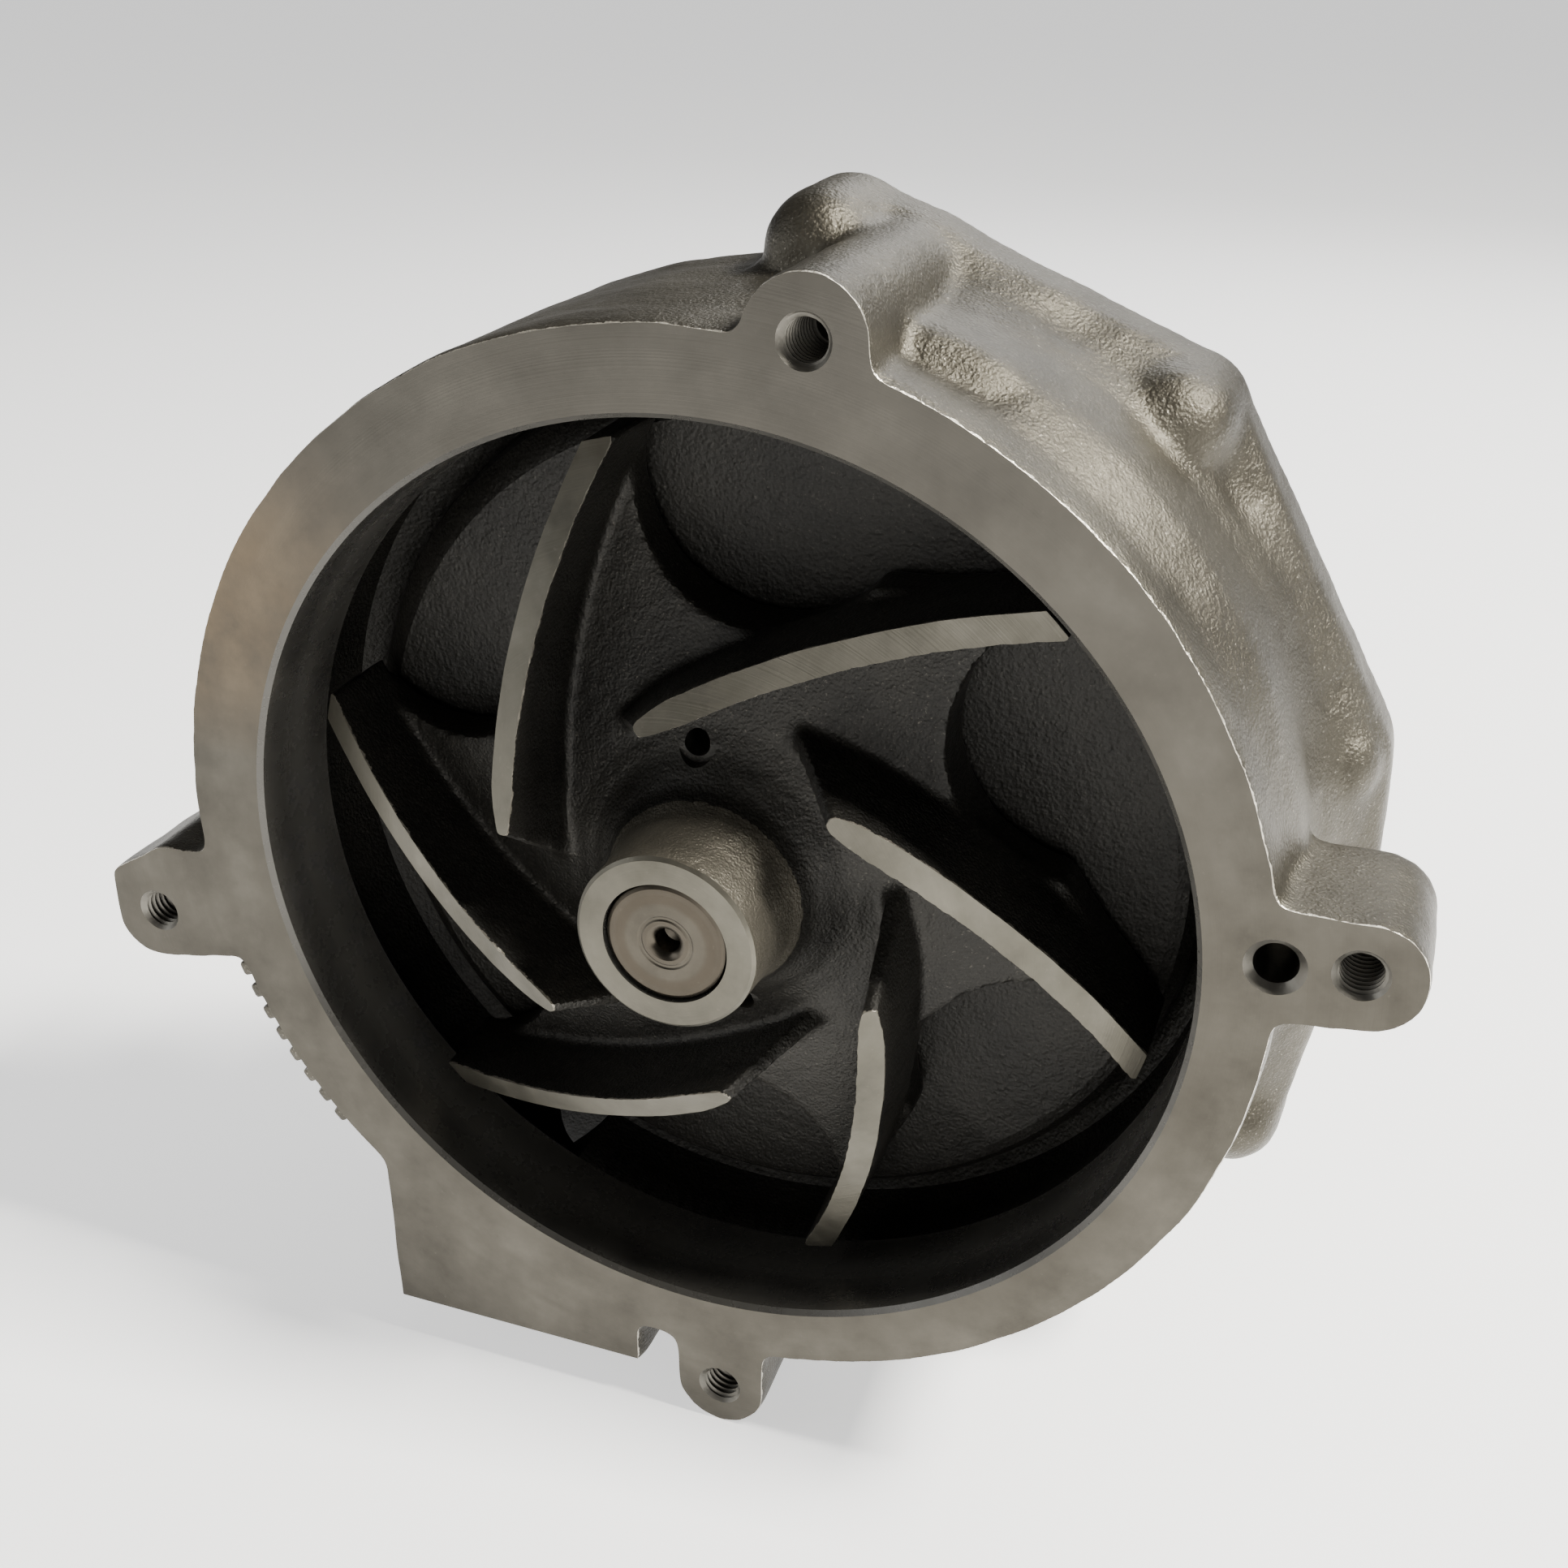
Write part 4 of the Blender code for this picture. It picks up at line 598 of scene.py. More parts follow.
def outlineReach(outline, angle):
    ux, uz = math.cos(rad(angle)), math.sin(rad(angle))
    best = 0.0
    for (x0, z0), (x1, z1) in zip(outline, outline[1:] + outline[:1]):
        dx, dz = x1 - x0, z1 - z0
        bottom = ux * dz - uz * dx
        if abs(bottom) < 1e-12:
            continue
        reach = (x0 * dz - z0 * dx) / bottom
        share = (x0 * uz - z0 * ux) / bottom
        if reach > 0 and -1e-9 <= share <= 1 + 1e-9:
            best = max(best, reach)
    return best


# ---- the casing

casing = {
    "ringRadius": 0.0978, "ringShift": (-0.0012, 0.0012),
    "boreRadius": 0.085, "boreDepth": 0.0205, "chamfer": 0.0009,
    "landRadius": 0.0805, "landY": 0.0335, "depth": 0.060,
    "scrollStart": -117.0, "scrollGrowth": 0.0075, "scrollFloor": (0.040, 0.050),
    "topEar": (0.0201, 0.0983), "leftEar": (-0.1127, -0.0223), "bottomEar": (0.0037, -0.1066),
    "rightEar": (0.1086, 0.0112), "dowel": (0.0962, 0.0100),
    "tapRadius": 0.0034, "tapMouth": 0.00435, "tapDepth": 0.0160, "tapPitch": 0.00125,
    "dowelRadius": 0.0035, "dowelMouth": 0.00485,
    "footLeft": -0.0673, "footRight": -0.0137, "footBottom": -0.1055,
    "outlet": (-0.0405, 0.036), "outletRadius": 0.016, "outletSeat": 0.0198,
    "bosses": [(0.0085, 0.1035), (0.0677, 0.0792), (0.0992, 0.0235), (0.0900, -0.0528)],
    "pads": 8, "voxel": 0.0011, "smoothing": 16,
}
# start, end, radius and height of soft lumps; a negative height makes a hollow
casingSwells = [
    ((0.0340, 0.0185, 0.0965), (0.0430, 0.0180, 0.0925), 0.0070, 0.0009),
    ((0.0620, 0.0430, 0.0820), (0.0650, 0.0430, 0.0790), 0.0110, 0.0012),
    ((0.0765, 0.0450, 0.0680), (0.0775, 0.0480, 0.0665), 0.0080, -0.0014),
    ((0.0490, 0.0450, 0.0930), (0.0500, 0.0480, 0.0920), 0.0080, -0.0009),
    ((0.1030, 0.0430, 0.0330), (0.1040, 0.0400, 0.0140), 0.0080, 0.0013),
    ((0.1000, 0.0330, 0.0380), (0.1010, 0.0330, 0.0300), 0.0080, -0.0008),
]
# how far the shoulder behind the ring stands out, round the casing
shoulderTable = [(-75, 0.0962), (-40, 0.0962), (2, 0.0978), (18, 0.1003), (35, 0.1022), (52, 0.1037),
                 (68, 0.1035), (80, 0.1005), (100, 0.0998), (130, 0.1003), (165, 0.0990), (200, 0.0975),
                 (250, 0.0962)]

# the short groove between ring and shoulder beside the top ear
grooveTable = [(-90, 0.0), (50, 0.0), (60, 0.0002), (64, 0.0019), (75, 0.0019), (84, 0.0006), (92, 0.0)]


def ringReach(angle, extra=0.0):
    return offCentre(casing["ringRadius"] + extra, casing["ringShift"], angle)


def rearOutline():
    top, upper, right, low = casing["bosses"]
    points = arcPoints(low, 0.0092, -75, 2, 6) + [(0.1090, 0.0040)]
    points += arcPoints(right, 0.0095, 5, 32, 4)
    points += arcPoints(upper, 0.0095, 30, 62, 5)
    points += [(0.0335, 0.1035), (0.0245, 0.1081)]
    points += arcPoints(top, 0.0095, 60, 150, 8) + [(-0.0030, 0.0999)]
    return points + arcPoints((0, 0), 0.0997, 96, 290, 60)


def blendReach(low, high, share):
    return lambda angle: low(angle) * (1 - share) + high(angle) * share


def casingShells():
    rear = rearOutline()

    def rearReach(angle):
        return outlineReach(rear, angle)

    def shoulder(angle):
        return tableValue(shoulderTable, angle)

    def groove(angle):
        dip = tableValue(grooveTable, angle)
        return blendReach(ringReach, shoulder, 0.5)(angle) - dip
    inset = blendReach(shoulder, rearReach, 0.30)
    near = blendReach(shoulder, rearReach, 0.75)
    shells = [loftSections([
        (-0.0015, ringReach), (0.0015, lambda a: ringReach(a, 0.0006)),
        (0.0085, lambda a: ringReach(a, 0.0008)),
        (0.0125, groove), (0.0175, blendReach(groove, shoulder, 0.8)), (0.0225, shoulder), (0.0330, shoulder),
        (0.0420, inset), (0.0470, near), (0.0500, rearReach), (0.0615, rearReach)])]
    ears = [
        ([(0.0900, -0.0005)] + arcPoints((0.1094, 0.0108), 0.0094, -80, 80, 14) + [(0.0900, 0.0200)], 0.0255),
        ([(-0.0900, -0.0070), (-0.1105, -0.0076)] + arcPoints((-0.1205, -0.0160), 0.0020, 110, 180, 3)
         + arcPoints((-0.1143, -0.0245), 0.0084, 190, 268, 6) + [(-0.0900, -0.0284)], 0.0255),
        ([(0.0126, -0.0900)] + arcPoints(casing["bottomEar"], 0.0090, 0, -180, 16) + [(-0.0053, -0.0900)],
         0.0255),
        (arcPoints(casing["topEar"], 0.0101, -12, 168, 16) + [(0.0088, 0.0900), (0.0310, 0.0900)], 0.0590),
    ]
    for outline, back in ears:
        shells.append(extrudeOutline(outline, -0.0015, back))
    foot = [(casing["footLeft"], -0.0660), (casing["footLeft"], casing["footBottom"] - 0.0030),
            (casing["footRight"], casing["footBottom"] - 0.0030), (casing["footRight"], -0.0900)]
    shells.append(extrudeOutline(foot, -0.0015, 0.0045))
    footBehind = [(casing["footLeft"] - 0.0016, -0.0640),
                  (casing["footLeft"] - 0.0016, casing["footBottom"] - 0.0030),
                  (casing["footRight"] + 0.0006, casing["footBottom"] - 0.0030),
                  (casing["footRight"] + 0.0006, -0.0900)]
    shells.append(extrudeOutline(footBehind, 0.0020, 0.0595))
    for i, (x, z) in enumerate(casing["bosses"]):
        reach = (0.0325, 0.0350, 0.0410, 0.0400)[i]
        dome = [(0, reach), (0.0035, reach + 0.0006), (0.0068, reach + 0.0028), (0.0088, reach + 0.0062),
                (0.0096, reach + 0.0110), (0.0098, 0.0590), (0, 0.0590)]
        size = (1.06, 1.02, 0.90, 1.0)[i]
        shells.append(moveTo(spinProfile([(r * size, y) for r, y in dome], 32), x, z))
    return shells


def casingPads():
    # plain raised pads in a row along the low left rim
    pads = []
    for i in range(casing["pads"]):
        angle = -140.0 - 2.9 * i
        bm = bmesh.new()
        bmesh.ops.create_cube(bm, size=1.0)
        bmesh.ops.scale(bm, verts=bm.verts, vec=(0.0046, 0.0085, 0.0031))
        bmesh.ops.bevel(bm, geom=bm.edges[:], offset=0.0007, segments=2, profile=0.5, affect="EDGES",
                        material=-1)
        bmesh.ops.translate(bm, verts=bm.verts, vec=(casing["ringRadius"] + 0.0006, 0.0050, 0))
        bmesh.ops.rotate(bm, verts=bm.verts, cent=(0, 0, 0), matrix=Matrix.Rotation(-rad(angle), 3, "Y"))
        bmesh.ops.translate(bm, verts=bm.verts, vec=(casing["ringShift"][0], 0, casing["ringShift"][1]))
        pads.append(bm)
    return pads


def scrollShare(x, z):
    angle = math.degrees(math.atan2(z, x))
    return ((angle - casing["scrollStart"]) % 360) / 360


def chamberCutters():
    bore, land = casing["boreRadius"], casing["landRadius"]
    front = [(0, -0.004), (bore + casing["chamfer"] + 0.004, -0.004), (bore, casing["chamfer"]),
             (bore, casing["boreDepth"]), (bore - 0.0004, casing["boreDepth"] + 0.0012),
             (0, casing["boreDepth"] + 0.0012)]
    machined = meshFrom(spinProfile(front, 192), "boreCutter", boreWall)
    # the floor, channel and port cut faces take the darker inner iron, a painted shade
    back = [(0, 0.010), (land - 0.002, 0.010), (land - 0.002, casing["landY"]), (0, casing["landY"])]
    floor = meshFrom(spinProfile(back, 128), "floorCutter", shadedInnerIron)
    low, high = casing["scrollFloor"]
    rows = [(0.0770, casing["boreDepth"] + 0.0008), (bore - 0.0002, casing["boreDepth"] + 0.0006),
            (bore - 0.0001, 0.0290), (bore, low - 0.0075), (bore - 0.0012, low - 0.0032),
            (bore - 0.0042, low - 0.0006),
            (bore - 0.0078, low), (land - 0.0018, low), (land + 0.0006, low - 0.0016),
            (land + 0.0006, 0.0375),
            (land, 0.0352), (land - 0.0014, 0.0338), (land - 0.0035, 0.0334)]
    channel = spinProfile(rows, 160, closed=True)
    for vert in channel.verts:
        x, y, z = vert.co
        radius = math.hypot(x, z)
        share = scrollShare(x, z)
        outward = max(0.0, min(1.0, (radius - 0.0790) / 0.0050))
        deep = max(0.0, min(1.0, (y - 0.0330) / 0.0070))
        grow = 1 + casing["scrollGrowth"] * share * outward * min(1.0,
                                                                  max(0.0, (y - 0.0212) / 0.0040)) / radius
        vert.co = (x * grow, y + (high - low) * share * deep, z * grow)
    channelCutter = meshFrom(channel, "channelCutter", shadedInnerIron)
    return [machined, floor, channelCutter]


def boxCutter(low, high, material):
    bm = bmesh.new()
    bmesh.ops.create_cube(bm, size=1.0)
    size = Vector(high) - Vector(low)
    bmesh.ops.scale(bm, verts=bm.verts, vec=size)
    bmesh.ops.translate(bm, verts=bm.verts, vec=(Vector(low) + Vector(high)) / 2)
    return meshFrom(bm, "box", material)


def outletCutters():
    x, y = casing["outlet"]
    turn = Matrix.Translation((x, y, casing["footBottom"])) @ Matrix.Rotation(rad(-90), 4, "X")
    port = spinProfile([(0, 0.004), (casing["outletSeat"], 0.004), (casing["outletSeat"], -0.0040),
                        (casing["outletRadius"] + 0.0006, -0.0040), (casing["outletRadius"], -0.0046),
                        (casing["outletRadius"], -0.0290), (0, -0.0290)], 80)
    for vert in port.verts:
        climb = max(0.0, min(1.0, (-vert.co.y - 0.0060) / 0.0200))
        vert.co.x *= 1 - 0.45 * climb
        vert.co.z = vert.co.z * (1 - 0.45 * climb) + 0.0075 * climb
    made = meshFrom(port, "port", shadedInnerIron)
    made.data.transform(turn)
    return [made]


def makeCasing():
    piece = joinAll(casingShells(), "castCasing", castIron)
    meltTogether(piece, casing["voxel"], casing["smoothing"])
    swell(piece, casingSwells)
    roughen(piece, 0.00022, 90.0)
    carve(piece, [meshFrom(pad, "pad", castIron) for pad in casingPads()], "UNION")
    cutters = [
        boxCutter((-0.2, -0.02, -0.2), (0.2, 0.0, 0.2), machinedFace),
        boxCutter((-0.2, casing["depth"], -0.2), (0.2, 0.09, 0.2), machinedFace),
        boxCutter((casing["footLeft"] - 0.01, -0.01, -0.13),
                  (casing["footRight"] + 0.0022, 0.08, casing["footBottom"]),
                  machinedFace),
    ]
    cutters += chamberCutters() + outletCutters()
    for name in ("topEar", "leftEar", "bottomEar", "rightEar"):
        for cutter in threadCutter(casing["tapRadius"], casing["tapMouth"], casing["tapDepth"],
                                   casing["tapPitch"],
                                   threadSteel):
            cutters.append(shiftObject(cutter, *casing[name]))
    dowel = drillCutter(casing["dowelRadius"], casing["dowelMouth"], 0.020, threadSteel)
    cutters.append(shiftObject(dowel, *casing["dowel"]))
    for x, z in casing["bosses"]:
        cutters.append(shiftObject(drillCutter(0.0042, 0.0052, 0.018, threadSteel, casing["depth"], -1.0),
                                   x, z))
    cutters.append(meshFrom(spinProfile([(0, 0.030), (0.0388, 0.030), (0.0388, 0.0590), (0.0400, 0.0602),
                                         (0.0400, 0.064), (0, 0.064)], 96), "pilot", machinedFace))
    cutters.append(meshFrom(spinProfile([(0.046, 0.043), (0.061, 0.043), (0.061, 0.065), (0.046, 0.065)],
                                        96, True),
                            "recess", shadedInnerIron))
    for i in range(6):
        x, z = polar(carrier["boltCircle"], carrier["boltStart"] + 60 * i)
        cutters.append(shiftObject(drillCutter(0.0043, 0.0043, 0.0158, threadSteel, casing["depth"], -1.0),
                                   x, z))
    carve(piece, cutters)
    finishPiece(piece, "pump_body", ["pump_housing"])


# ---- the impeller

impeller = {
    "vanes": 6, "tipAngle": 103.9, "tipRadius": 0.0796, "arcRadius": 0.1396, "arcCentre": 0.1074,
    "thickness": 0.0046, "rootFront": 0.0352, "rootBack": 0.0318, "cone": (-0.0155, 0.354),
    "plate": (0.0085, 0.235), "plateBack": 0.0315, "hubFront": -0.01084, "hubRadius": 0.0161,
    "bore": 0.01115, "scallopRadius": 0.0245, "scallopCentre": 0.0697, "scallopLag": 18.4,
    "pullerCircle": 0.0255, "pullerAngle": 98.5, "voxel": 0.00075, "smoothing": 7,
}


def arcMiddle(tipAngle):
    tip, arc, centre = impeller["tipRadius"], impeller["arcRadius"], impeller["arcCentre"]
    return tipAngle - math.degrees(math.acos((tip ** 2 + centre ** 2 - arc ** 2) / (2 * tip * centre)))


def vaneAngle(radius, tipAngle):
    arc, centre = impeller["arcRadius"], impeller["arcCentre"]
    side = (radius ** 2 + centre ** 2 - arc ** 2) / (2 * radius * centre)
    return arcMiddle(tipAngle) + math.degrees(math.acos(max(-1.0, min(1.0, side))))


def vaneShell(tipAngle, stations=30):
    # a four-sided section swept out along the vane's curve, one bridge between each pair
    bm = bmesh.new()
    centre = Vector(polar(impeller["arcCentre"], arcMiddle(tipAngle)))
    before = None
    for i in range(stations + 1):
        share = i / stations
        section = []
        for root, buried in ((impeller["rootBack"], True), (impeller["rootFront"], False)):
            radius = root + (impeller["tipRadius"] + 0.0012 - root) * share
            middle = Vector(polar(radius, vaneAngle(radius, tipAngle)))
            outward = (middle - centre).normalized()
            half = impeller["thickness"] / 2 * min(1.0, 0.55 + share * 9)
            if buried:
                half *= 1.25
                y = impeller["plate"][0] + impeller["plate"][1] * radius + 0.0022
            else:
                y = impeller["cone"][0] + impeller["cone"][1] * radius - 0.0014
            for sign in ((-1, 1) if buried else (1, -1)):
                point = middle + outward * half * sign
                section.append(bm.verts.new((point.x, y, point.y)))
        edges = [bm.edges.new((section[k], section[(k + 1) % 4])) for k in range(4)]
        if before:
            bmesh.ops.bridge_loops(bm, edges=before + edges)
        before = edges
    bmesh.ops.holes_fill(bm, edges=[e for e in bm.edges if e.is_boundary], sides=0)
    return bm


def scallopCutter(tipAngle):
    middleAngle = tipAngle - impeller["scallopLag"]
    centre = polar(impeller["scallopCentre"], middleAngle)
    outline = arcPoints(centre, impeller["scallopRadius"], middleAngle + 84, middleAngle + 236, 40)
    nextTip = tipAngle - 60
    nextCentre = Vector(polar(impeller["arcCentre"], arcMiddle(nextTip)))
    for radius in (0.0640, 0.0680, 0.0720, 0.0760, impeller["tipRadius"]):
        middle = Vector(polar(radius, vaneAngle(radius, nextTip)))
        outline.append(tuple(middle + (middle - nextCentre).normalized()
                             * (impeller["thickness"] / 2 + 0.0004)))
    outline += [polar(0.090, nextTip + 2), polar(0.098, tipAngle - 30), polar(0.090, tipAngle - 1.5)]
    return meshFrom(extrudeOutline(outline, 0.012, impeller["plateBack"] + 0.004), "scallop")


def makeImpeller():
    start, slope = impeller["plate"]

    def plateY(radius):
        return start + slope * radius
    tip = impeller["tipRadius"]
    plate = meshFrom(spinProfile([(0, 0.006), (0.0200, 0.0115), (0.0280, plateY(0.0280)),
                                  (0.0550, plateY(0.0550)),
                                  (tip + 0.0015, plateY(tip)), (tip + 0.0015, impeller["plateBack"]),
                                  (0, impeller["plateBack"])], 160), "castImpeller", shadedImpellerIron)
    tips = [impeller["tipAngle"] - 60 * i for i in range(impeller["vanes"])]
    carve(plate, [scallopCutter(angle) for angle in tips])
    shells = [vaneShell(angle) for angle in tips]
    hub = impeller["hubRadius"]
    shells.append(spinProfile([(0, impeller["hubFront"] - 0.002), (hub, impeller["hubFront"] - 0.002),
                               (hub + 0.0002, -0.004), (hub + 0.0010, 0.0035), (0.0192, 0.0090),
                               (0.0245, 0.0138),
                               (0.0300, 0.0180), (0, 0.0240)], 128))
    plateMesh = bmesh.new()
    plateMesh.from_mesh(plate.data)
    bpy.data.objects.remove(plate, do_unlink=True)
    piece = joinAll([plateMesh] + shells, "castImpeller", shadedImpellerIron)
    meltTogether(piece, impeller["voxel"], impeller["smoothing"])
    roughen(piece, 0.00012, 130.0)
    coneStart, coneSlope = impeller["cone"]
    inner, outer = 0.0215, 0.0900
    front = spinProfile([(inner, -0.03), (outer, -0.03), (outer, coneStart + coneSlope * outer),
                         (inner, coneStart + coneSlope * inner)], 160, True)
    rim = spinProfile([(tip, -0.03), (0.10, -0.03), (0.10, 0.05), (tip, 0.05)], 192, True)
    hubFace = spinProfile([(0, -0.03), (0.0205, -0.03), (0.0205, impeller["hubFront"] + 0.0043),
                           (hub - 0.0006, impeller["hubFront"]), (0, impeller["hubFront"])], 128)
    back = spinProfile([(0, impeller["plateBack"]), (0.10, impeller["plateBack"]), (0.10, 0.06), (0, 0.06)],
                       64)
    bore = spinProfile([(0, -0.03), (impeller["bore"], -0.03), (impeller["bore"], 0.05), (0, 0.05)], 96)
    pocket = spinProfile([(0, 0.0262), (0.0192, 0.0262), (0.0192, 0.05), (0, 0.05)], 96)
    cutters = [meshFrom(front, "front", vaneEdge), meshFrom(rim, "rim", shadedImpellerIron),
               meshFrom(hubFace, "hubFace", vaneEdge),
               meshFrom(back, "back", shadedImpellerIron), meshFrom(bore, "bore", boreWall),
               meshFrom(pocket, "pocket", vaneEdge)]
    for turn in (0, 180):
        x, z = polar(impeller["pullerCircle"], impeller["pullerAngle"] + turn)
        seat = plateY(impeller["pullerCircle"]) - 0.0006
        flat = spinProfile([(0, -0.02), (0.0036, -0.02), (0.0036, seat), (0, seat)], 32)
        hole = spinProfile([(0, 0.0), (0.0024, 0.0), (0.0024, 0.04), (0, 0.04)], 28)
        cutters += [shiftObject(meshFrom(flat, "flat", shadedImpellerIron), x, z),
                    shiftObject(meshFrom(hole, "hole", threadSteel), x, z)]
    carve(piece, cutters)
    paintHub(piece)
    finishPiece(piece, "rotor", ["impeller"])


def paintHub(piece):
    # painted light and shade: the hub's as-cast side, standing forward into the light, gets a paler copy of
    # the iron than the shaded plate
    piece.data.materials.append(litHubIron)
    last = len(piece.data.materials) - 1
    cast = [i for i, m in enumerate(piece.data.materials) if m == shadedImpellerIron]
    for face in piece.data.polygons:
        x, y, z = face.center
        if face.material_index in cast and math.hypot(x, z) < 0.0186 and y < 0.0062:
            face.material_index = last


# ---- shaft, carrier, pulley and screws

shaft = {"front": -0.0104, "radius": 0.01085, "hole": 0.0022, "holeDepth": 0.006, "journal": 0.0125,
         "journalStart": 0.056, "seat": 0.1372, "seatRadius": 0.0115, "end": 0.152}
carrier = {"noseRadius": 0.0385, "noseY": 0.0358, "flangeRadius": 0.079, "flangeY": 0.0614,
           "flangeThick": 0.009,
           "neck": 0.0385, "end": 0.1318, "bearingBore": 0.0313, "sealBore": 0.022, "boltCircle": 0.0705,
           "boltStart": 22.0, "ribs": 4, "ribStart": 52.0}
pulley = {"web": 0.1445, "webThick": 0.005, "radius": 0.072, "rim": 0.0075, "ribs": 6, "ribPitch": 0.00356,
          "ribDepth": 0.0028, "flange": 0.003, "bore": 0.0198, "boltCircle": 0.028, "window": 0.0085,
          "windowCircle": 0.050}


def makeShaft():
    front, r = shaft["front"], shaft["radius"]
    hole = shaft["hole"]
    profile = [(0, front + shaft["holeDepth"]), (hole, front + shaft["holeDepth"] - 0.0012),
               (hole, front + 0.0011),
               (hole + 0.0003, front + 0.0006), (hole + 0.0009, front + 0.00015), (hole + 0.0012, front),
               (hole + 0.0019, front), (hole + 0.0022, front + 0.00018), (hole + 0.0026, front + 0.00018),
               (hole + 0.0029, front), (r - 0.0008, front), (r - 0.0002, front + 0.0003), (r, front + 0.0008),
               (r, 0.0300), (r, shaft["journalStart"]), (shaft["journal"], shaft["journalStart"] + 0.001),
               (shaft["journal"], shaft["seat"] - 0.0015), (shaft["seatRadius"], shaft["seat"] - 0.001),
               (shaft["seatRadius"], shaft["end"] - 0.001),
               (shaft["seatRadius"] - 0.0008, shaft["end"] - 0.0001),
               (0.0042, shaft["end"]), (0.0024, shaft["end"] - 0.0016), (0.0024, shaft["end"] - 0.0050),
               (0, shaft["end"] - 0.0062)]
    piece = meshFrom(spinProfile(profile, 128), "turnedShaft", shaftSteel)
    finishPiece(piece, "rotor", ["pump_shaft"])


def makeCarrier():
    c = carrier
    rear = c["flangeY"] + c["flangeThick"]
    neck = c["neck"]
    outside = [(0, c["noseY"] - 0.002), (c["noseRadius"] + 0.0004, c["noseY"] - 0.002),
               (c["noseRadius"] + 0.0004, c["flangeY"]),
               (c["flangeRadius"], c["flangeY"]), (c["flangeRadius"], rear), (neck + 0.0050, rear),
               (neck + 0.0010, rear + 0.0022), (neck - 0.0002, rear + 0.0070),
               (neck - 0.0009, c["end"] + 0.002),
               (0, c["end"] + 0.002)]
    shells = [spinProfile(outside, 128)]
    for i in range(c["ribs"]):
        rib = bmesh.new()
        outline = [(neck - 0.004, rear - 0.003), (neck + 0.0228, rear - 0.003),
                   (neck + 0.0195, rear + 0.0030),
                   (neck + 0.0018, rear + 0.0310), (neck - 0.004, rear + 0.0350)]
        face = rib.faces.new([rib.verts.new((r, y, -0.0032)) for r, y in outline])
        made = bmesh.ops.extrude_face_region(rib, geom=[face])
        moved = [g for g in made["geom"] if isinstance(g, bmesh.types.BMVert)]
        bmesh.ops.translate(rib, verts=moved, vec=(0, 0, 0.0064))
        turn = Matrix.Rotation(-rad(c["ribStart"] + 90 * i), 3, "Y")
        bmesh.ops.rotate(rib, verts=rib.verts, cent=(0, 0, 0), matrix=turn)
        shells.append(rib)
    for i in range(6):
        x, z = polar(c["boltCircle"], c["boltStart"] + 60 * i)
        shells.append(moveTo(spinProfile([(0, rear - 0.002), (0.0100, rear - 0.002), (0.0094, rear + 0.0008),
                                          (0, rear + 0.0008)], 40), x, z))
    piece = joinAll(shells, "castCarrier", castIron)
    meltTogether(piece, 0.0013, 5)
    roughen(piece, 0.00018, 90.0)
    inside = [(0, 0.0), (c["sealBore"], 0.0), (c["sealBore"], 0.0508), (0.0160, 0.0508), (0.0160, 0.0560),
              (0.0270, 0.0580), (0.0270, 0.0760), (c["bearingBore"], 0.0760), (c["bearingBore"], 0.1217),
              (c["bearingBore"] + 0.0018, 0.1217), (c["bearingBore"] + 0.0018, 0.1241),
              (c["bearingBore"], 0.1241),
              (c["bearingBore"], c["end"] - 0.0006), (c["bearingBore"] + 0.002, c["end"] + 0.0014),
              (c["bearingBore"] + 0.002, 0.14), (0, 0.14)]
    nose = [(c["noseRadius"], 0.02), (0.10, 0.02), (0.10, c["flangeY"]), (c["noseRadius"], c["flangeY"])]
    cutters = [meshFrom(spinProfile(inside, 96), "inside", boreWall),
               meshFrom(spinProfile(nose, 128, True), "nose", machinedFace),
               boxCutter((-0.1, 0.0, -0.1), (0.1, c["noseY"], 0.1), machinedFace),
               boxCutter((-0.1, c["end"], -0.1), (0.1, 0.16, 0.1), machinedFace)]
    for i in range(6):
        x, z = polar(c["boltCircle"], c["boltStart"] + 60 * i)
        hole = spinProfile([(0, 0.05), (0.0043, 0.05), (0.0043, 0.09), (0, 0.09)], 32)
        spot = spinProfile([(0, rear), (0.0092, rear), (0.0092, rear + 0.02), (0, rear + 0.02)], 40)
        cutters += [shiftObject(meshFrom(hole, "hole", threadSteel), x, z),
                    shiftObject(meshFrom(spot, "spot", machinedFace), x, z)]
    weep = meshFrom(spinProfile([(0, 0.024), (0.003, 0.024), (0.003, 0.050), (0, 0.050)], 28), "weep",
                    threadSteel)
    weep.data.transform(Matrix.Translation((0, 0.0718, 0)) @ Matrix.Rotation(rad(-90), 4, "X"))
    cutters.append(weep)
    carve(piece, cutters)
    finishPiece(piece, "pump_body", ["bearing_housing"])


